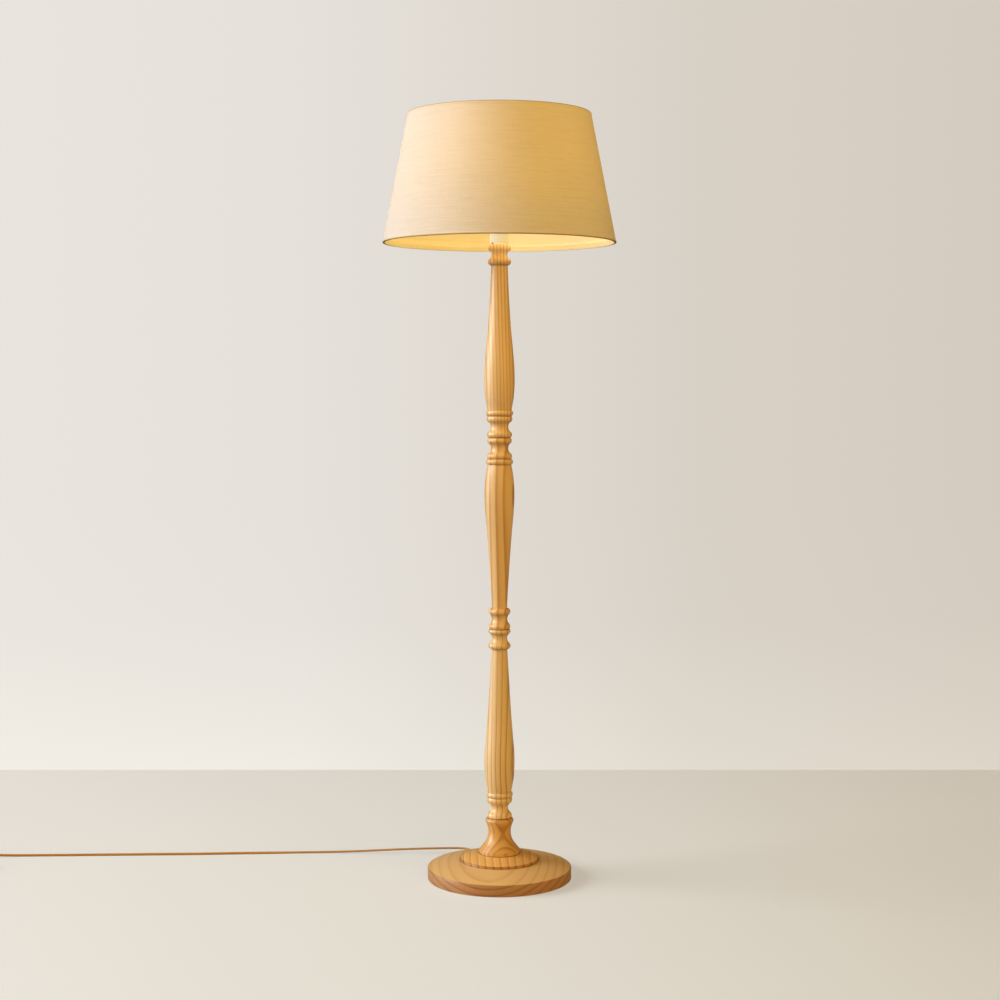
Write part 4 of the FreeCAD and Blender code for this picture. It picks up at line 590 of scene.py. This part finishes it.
TURNINGS = {
    "foot": (50.0, [
        ("start", (0.0, 79.6)), ("line", (6.5, 79.8)),
        ("sweep", (13.0, 69.4), (21.0, 56.7), (30.0, 48.1), (42.0, 44.1), (53.0, 47.4), (61.0, 53.2)),
        ("arc", (65.2, 54.8), (69.0, 49.6)), ("line", (70.5, 46.8))]),
    "lower": (120.5, [
        ("start", (0.0, 46.8)), ("arc", (4.7, 48.2), (9.2, 44.0)), ("arc", (19.5, 33.3), (28.6, 43.8)),
        ("arc", (34.6, 50.0), (40.4, 47.2)), ("arc", (45.6, 52.0), (51.0, 45.8)),
        ("sweep", (66.0, 52.1), (84.0, 57.0), (109.0, 59.1), (132.0, 57.6), (160.0, 53.0), (200.0, 46.6),
         (240.0, 41.3), (285.0, 36.0), (329.5, 30.8)),
        ("line", (332.4, 31.0)), ("arc", (338.7, 43.4), (344.3, 38.2)), ("arc", (354.2, 30.3), (362.6, 37.0)),
        ("arc", (367.6, 43.4), (372.0, 38.6))]),
    "middle": (492.5, [
        ("start", (0.0, 38.6)), ("arc", (6.0, 41.9), (10.8, 36.8)), ("arc", (20.0, 30.4), (28.6, 37.0)),
        ("arc", (34.2, 42.7), (40.8, 31.4)), ("line", (41.6, 29.4)),
        ("sweep", (75.0, 32.7), (110.0, 37.0), (150.0, 42.3), (190.0, 48.4), (225.0, 54.6), (258.0, 58.0),
         (285.0, 56.2), (304.0, 52.2), (320.5, 45.8)),
        ("arc", (326.4, 52.7), (332.0, 44.8)), ("arc", (337.2, 49.1), (342.5, 43.4)),
        ("arc", (352.8, 33.9), (361.0, 40.2)), ("arc", (367.3, 47.8), (373.0, 42.0))]),
    "upper": (865.5, [
        ("start", (0.0, 42.0)), ("arc", (5.8, 48.6), (11.2, 43.2)), ("arc", (21.8, 34.4), (29.2, 40.8)),
        ("arc", (37.0, 50.0), (41.9, 45.9)), ("arc", (47.6, 53.1), (53.0, 46.8)),
        ("sweep", (62.0, 49.8), (75.0, 54.6), (95.0, 58.0), (115.0, 58.9), (140.0, 57.3), (175.0, 51.2),
         (215.0, 44.0), (260.0, 38.1), (300.0, 34.2), (331.0, 32.0)),
        ("arc", (338.4, 44.6), (345.2, 37.2)), ("arc", (352.2, 30.2), (359.0, 36.8)),
        ("arc", (364.7, 44.8), (369.8, 39.8)), ("line", (371.4, 34.8))]),
}


def arc_points(a, b, c, count=9):
    """Points on the circle through three, after the first up to the last."""
    ax, ay, bx, by, cx, cy = *a, *b, *c
    d = 2 * (ax * (by - cy) + bx * (cy - ay) + cx * (ay - by))
    a2, b2, c2 = ax * ax + ay * ay, bx * bx + by * by, cx * cx + cy * cy
    ox = (a2 * (by - cy) + b2 * (cy - ay) + c2 * (ay - by)) / d
    oy = (a2 * (cx - bx) + b2 * (ax - cx) + c2 * (bx - ax)) / d
    radius = math.hypot(ax - ox, ay - oy)
    start, middle, end = (math.atan2(q - oy, p - ox) for p, q in (a, b, c))
    around = (end - start) % (2 * math.pi)
    if (middle - start) % (2 * math.pi) > around:
        around -= 2 * math.pi
    turns = [start + around * k / count for k in range(1, count + 1)]
    return [(ox + radius * math.cos(turn), oy + radius * math.sin(turn)) for turn in turns]


def sweep_points(marks, count=6):
    """A smooth line through all the marks, after the first."""
    made = []
    ends = [marks[0]] + list(marks) + [marks[-1]]
    for before, a, b, after in zip(ends, ends[1:], ends[2:], ends[3:]):
        for k in range(1, count + 1):
            t = k / count
            made.append(tuple(
                0.5 * (2 * q + (r - p) * t + (2 * p - 5 * q + 4 * r - s) * t * t
                       + (3 * q - p - 3 * r + s) * t ** 3)
                for p, q, r, s in zip(before, a, b, after)))
    return made


def outline_of(strokes):
    """(radius, height) points of a turned outline given as heights and diameters."""
    points = []
    for kind, *marks in strokes:
        marks = [(across / 2, height) for height, across in marks]
        if kind in ("start", "line"):
            points += marks
        elif kind == "arc":
            points += arc_points(points[-1], *marks)
        else:
            points += sweep_points([points[-1]] + marks)
    return points


def turned(name, points, steps=96, sharp=38.0):
    """A lathe-turned piece: its outline in millimetres, spun round the column's axis."""
    let_go()
    line = bpy.data.curves.new(name, "CURVE")
    line.dimensions = "3D"
    spline = line.splines.new("POLY")
    spline.points.add(len(points) - 1)
    for point, (radius, height) in zip(spline.points, points):
        point.co = (radius * MM, 0.0, height * MM, 1.0)
    piece = bpy.data.objects.new(name, line)
    bpy.context.collection.objects.link(piece)
    pick(piece)
    bpy.ops.object.convert(target="MESH")
    piece = bpy.context.object
    bpy.ops.object.mode_set(mode="EDIT")
    bpy.ops.mesh.select_all(action="SELECT")
    bpy.ops.mesh.spin(steps=steps, angle=2 * math.pi, center=(0, 0, 0), axis=(0, 0, 1))
    bpy.ops.mesh.select_all(action="SELECT")
    bpy.ops.mesh.remove_doubles(threshold=0.000002)
    bpy.ops.mesh.normals_make_consistent(inside=False)
    bpy.ops.object.mode_set(mode="OBJECT")
    bpy.ops.object.shade_smooth_by_angle(angle=math.radians(sharp))
    return piece


def finish_piece(piece, body, material, record_slot, *nodes):
    piece.data.materials.clear()
    piece.data.materials.append(material)
    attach(piece, body)
    if nodes:
        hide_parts(*nodes)
    return piece


def lifted(points, level):
    return [(r, z + level) for r, z in points]


for part, (level, strokes) in TURNINGS.items():
    outline = outline_of(strokes)
    closed = [(0.0, 0.0)] + outline + [(0.0, outline[-1][1])]
    node_name = "flared_foot" if part == "foot" else f"{part}_column"
    finish_piece(turned(f"turned_{part}", lifted(closed, level)), "lamp", FINISHES[part], "pine", node_name)


def rounded_side(radius, low, high):
    """An upright side between two heights, both its corners rounded over."""
    soft, middle = 1.2, 0.35
    inset = radius - soft
    foot = arc_points((inset, low), (radius - middle, low + middle), (radius, low + soft), 4)
    head = arc_points((radius, high - soft), (radius - middle, high - middle), (inset, high), 4)
    return [(inset, low)] + foot + [(radius, high - soft)] + head


base_outline = [(0.0, BASE_FOOT)] + rounded_side(BASE_RADIUS, BASE_FOOT, BASE_RIM_TOP)
base_outline += arc_points(base_outline[-1], (108.5, 30.75), (77.2, CROWN), 14) + [(0.0, CROWN)]
finish_piece(turned("turned_base", base_outline, 192), "lamp", FINISHES["base"], "pine", "base_disc")

plinth_outline = [(0.0, CROWN), (PLINTH_RADIUS - 0.6, CROWN), (PLINTH_RADIUS, CROWN + 0.6)]
plinth_outline += [(PLINTH_RADIUS, 40.5)]
plinth_outline += arc_points(plinth_outline[-1], (58.5, 46.55), (PLINTH_FLAT, PLINTH_TOP), 14)
plinth_outline += [(0.0, PLINTH_TOP)]
finish_piece(turned("turned_plinth", plinth_outline, 160), "lamp", FINISHES["plinth"], "pine", "plinth_disc")

felt_outline = [(0.0, 0.0), (FELT_RADIUS - 0.8, 0.0)]
felt_outline += arc_points(felt_outline[-1], (FELT_RADIUS - 0.2, 0.25), (FELT_RADIUS, 0.9), 4)
felt_outline += [(FELT_RADIUS, FELT_THICK), (0.0, FELT_THICK)]
finish_piece(turned("turned_felt", felt_outline, 128), "lamp", FINISHES["felt"], "felt", "felt_pad")

# ------------------------------------------------------------------ shade

SLANT = (SHADE_BOTTOM_RADIUS - SHADE_TOP_RADIUS) / (SHADE_HIGH - SHADE_LOW)
EDGE_INSET = 0.55


def wall_at(level, depth):
    """The shade's radius at a height, at a depth from its outside."""
    return SHADE_BOTTOM_RADIUS - SLANT * (level - SHADE_LOW) - depth


def cloth_map(piece):
    """The piece's own map: metres round the shade, and metres up it."""
    layer = piece.data.uv_layers.new(name="cloth")
    for polygon in piece.data.polygons:
        corners = [piece.data.vertices[k].co for k in polygon.vertices]
        turns = [math.atan2(place.x, -place.y) for place in corners]
        for index, turn, place in zip(polygon.loop_indices, turns, corners):
            if max(turns) - min(turns) > math.pi and turn < 0:
                turn += 2 * math.pi
            layer.data[index].uv = (turn * 0.2, place.z)
    piece.data.uv_layers.active = layer


def shell(name, outer, inner, material, record_slot, *nodes):
    """A conical skin of the shade, with its thickness, between two depths from the outside."""
    rows = 12
    low, high = SHADE_LOW + EDGE_INSET, SHADE_HIGH - EDGE_INSET
    levels = [low + (high - low) * k / rows for k in range(rows + 1)]
    points = [(wall_at(z, outer), z) for z in levels] + [(wall_at(z, inner), z) for z in reversed(levels)]
    points.append(points[0])
    piece = turned(name, points, 192, 50.0)
    cloth_map(piece)
    return finish_piece(piece, "shade", material, record_slot, *nodes)


cloth = shell("shade_cloth", 0.5, 1.2, FINISHES["linen"], "linen", "shade_fabric")
lining = shell("shade_lining", 1.25, 1.75, FINISHES["liner"], "liner", "shade_liner")


def hem(name, edge, inward, node_name):
    """A folded band: a soft fold round the edge, a short leg outside and a long one, lined, inside."""
    short, long = edge + inward * 4.5, edge + inward * 10.0
    back = 5.65
    points = [(wall_at(short, 0.45), short), (wall_at(short, 0.05), short - inward * 0.2)]
    points += [(wall_at(edge, 0.05), edge + inward * 0.7), (wall_at(edge, 0.5), edge + inward * 0.1),
               (wall_at(edge, 1.4), edge)]
    points += [(wall_at(edge, back) + 1.4, edge), (wall_at(edge, back) + 0.4, edge + inward * 0.15),
               (wall_at(edge, back), edge + inward * 0.8), (wall_at(long, back), long)]
    points += [(wall_at(long, back - 0.45), long), (wall_at(edge, back - 0.5), edge + inward * 0.9),
               (wall_at(edge, 0.55), edge + inward * 0.6)]
    points.append(points[0])
    piece = turned(name, points, 192, 60.0)
    cloth_map(piece)
    finish_piece(piece, "shade", FINISHES["trim"], "linen_trim", node_name)
    piece.data.materials.append(FINISHES["liner"])
    for face in piece.data.polygons:
        place = face.center
        if math.hypot(place.x, place.y) < wall_at(place.z / MM, 3.4) * MM:
            face.material_index = 1
    return piece


lower_fold = hem("shade_lower_fold", SHADE_LOW, 1, "shade_bottom_hem")
upper_fold = hem("shade_upper_fold", SHADE_HIGH, -1, "shade_top_hem")

# ------------------------------------------------------------------ floor, wall and light

WALL_Y = 0.976


def stage_finish(name, build):
    f = Finish(name)
    build(f)
    return f.material


def floor_nodes(f):
    """A pale floor that keeps the lamp's shadow. Its camera-seen tone is painted light: paler to the left and
    towards the front, darker and warmer to the right.
    """
    x, y, _ = f.parts(f.coordinates())
    # Painted light: the floor's tone falls off to the right and away from the camera.
    far = f.ramp((x + 1.2) / 2.4, [(0.0, (0.725, 0.682, 0.613)), (0.5, (0.632, 0.592, 0.510)),
                                   (1.0, (0.540, 0.486, 0.396))])
    near = f.ramp((x + 0.9) / 1.8, [(0.0, (0.780, 0.750, 0.672)), (0.5, (0.706, 0.672, 0.580)),
                                    (1.0, (0.606, 0.552, 0.440))])
    depth = f.curve((y + 0.9) / 1.88, [(0.0, 0.0), (1.0, 1.0)])
    tone = f.blend(depth, near, far)
    shader = f.node("BsdfDiffuse", values={"Color": colour(0.58, 0.585, 0.56)})
    lit = f.blend(1.0, tone, colour(0.336, 0.284, 0.194), "SUBTRACT")
    glow = f.node("Emission", values={"Color": lit, "Strength": 1.0})
    seen = f.node("LightPath", out=0)
    both = f.node("AddShader", values={0: shader, 1: glow})
    mixed = f.node("MixShader", values={0: seen, 1: shader, 2: both})
    f.node("OutputMaterial", values={"Surface": mixed})


def wall_nodes(f):
    """The backdrop, seen only from its front. Its tone is painted light: paler to the left, darker and warmer
    to the right, and a little brighter just above the floor.
    """
    x, _, z = f.parts(f.coordinates())
    # Painted light: the backdrop is paler to the left and brighter just above the floor.
    tone = f.ramp((x + 1.24) / 2.48, [(0.0, (0.815, 0.775, 0.722)), (0.3, (0.79, 0.755, 0.705)),
                                      (0.7, (0.69, 0.635, 0.565)), (1.0, (0.66, 0.60, 0.525))])
    rise = f.ramp(z / 1.9, [(0.0, (1.10, 1.11, 1.10)), (0.05, (1.07, 1.08, 1.07)), (0.20, (1.01, 1.01, 1.01)),
                            (0.35, (1.0, 1.0, 1.0)), (1.0, (1.0, 1.0, 1.0))])
    tone = f.blend(1.0, tone, rise, "MULTIPLY")
    front = f.node("Emission", values={"Color": tone, "Strength": 1.0})
    clear = f.node("BsdfTransparent")
    behind = f.node("NewGeometry", out=6)
    mixed = f.node("MixShader", values={0: behind, 1: front, 2: clear})
    f.node("OutputMaterial", values={"Surface": mixed})


let_go()
bpy.ops.mesh.primitive_plane_add(size=16.0, location=(0, 0, 0))
floor = bpy.context.object
floor.name = "studio_floor"
floor.data.materials.append(stage_finish("studio_floor", floor_nodes))
bpy.ops.mesh.primitive_plane_add(size=16.0, location=(0, WALL_Y, 8.0), rotation=(math.pi / 2, 0, 0))
wall = bpy.context.object
wall.name = "studio_wall"
bpy.ops.object.transform_apply(location=True, rotation=True, scale=True)
wall.data.materials.append(stage_finish("studio_wall", wall_nodes))
wall.visible_shadow = False
wall.visible_diffuse = False
wall.visible_glossy = False
floor.visible_diffuse = False


def sun(name, towards, power, tint, softness):
    """A soft lamp at the plain level of a studio, from a direction: degrees to the right of front, and up."""
    azimuth, elevation = (math.radians(d) for d in towards)
    let_go()
    bpy.ops.object.light_add(type="SUN", rotation=(math.pi / 2 - elevation, 0, azimuth))
    lamp = bpy.context.object
    lamp.name = name
    lamp.data.energy = power
    lamp.data.color = tint
    lamp.data.angle = math.radians(softness)


sun("key_lamp", (-87, 20), 3.05, (1.0, 1.0, 1.0), 42)
sun("fill_lamp", (30, 22), 1.66, (1.0, 0.66, 0.20), 70)

world = bpy.data.worlds.new("studio_air")
bpy.context.scene.world = world
world.use_nodes = True
air = world.node_tree
air.nodes.clear()
dim = air.nodes.new("ShaderNodeBackground")
dim.inputs["Color"].default_value = (1.0, 0.68, 0.38, 1.0)
dim.inputs["Strength"].default_value = 0.13
pale = air.nodes.new("ShaderNodeBackground")
pale.inputs["Color"].default_value = (0.76, 0.72, 0.66, 1.0)
pale.inputs["Strength"].default_value = 1.0
path_kind = air.nodes.new("ShaderNodeLightPath")
choose = air.nodes.new("ShaderNodeMixShader")
output = air.nodes.new("ShaderNodeOutputWorld")
air.links.new(path_kind.outputs["Is Camera Ray"], choose.inputs[0])
air.links.new(dim.outputs[0], choose.inputs[1])
air.links.new(pale.outputs[0], choose.inputs[2])
air.links.new(choose.outputs[0], output.inputs[0])
bpy.context.scene.view_settings.view_transform = "Standard"

let_go()
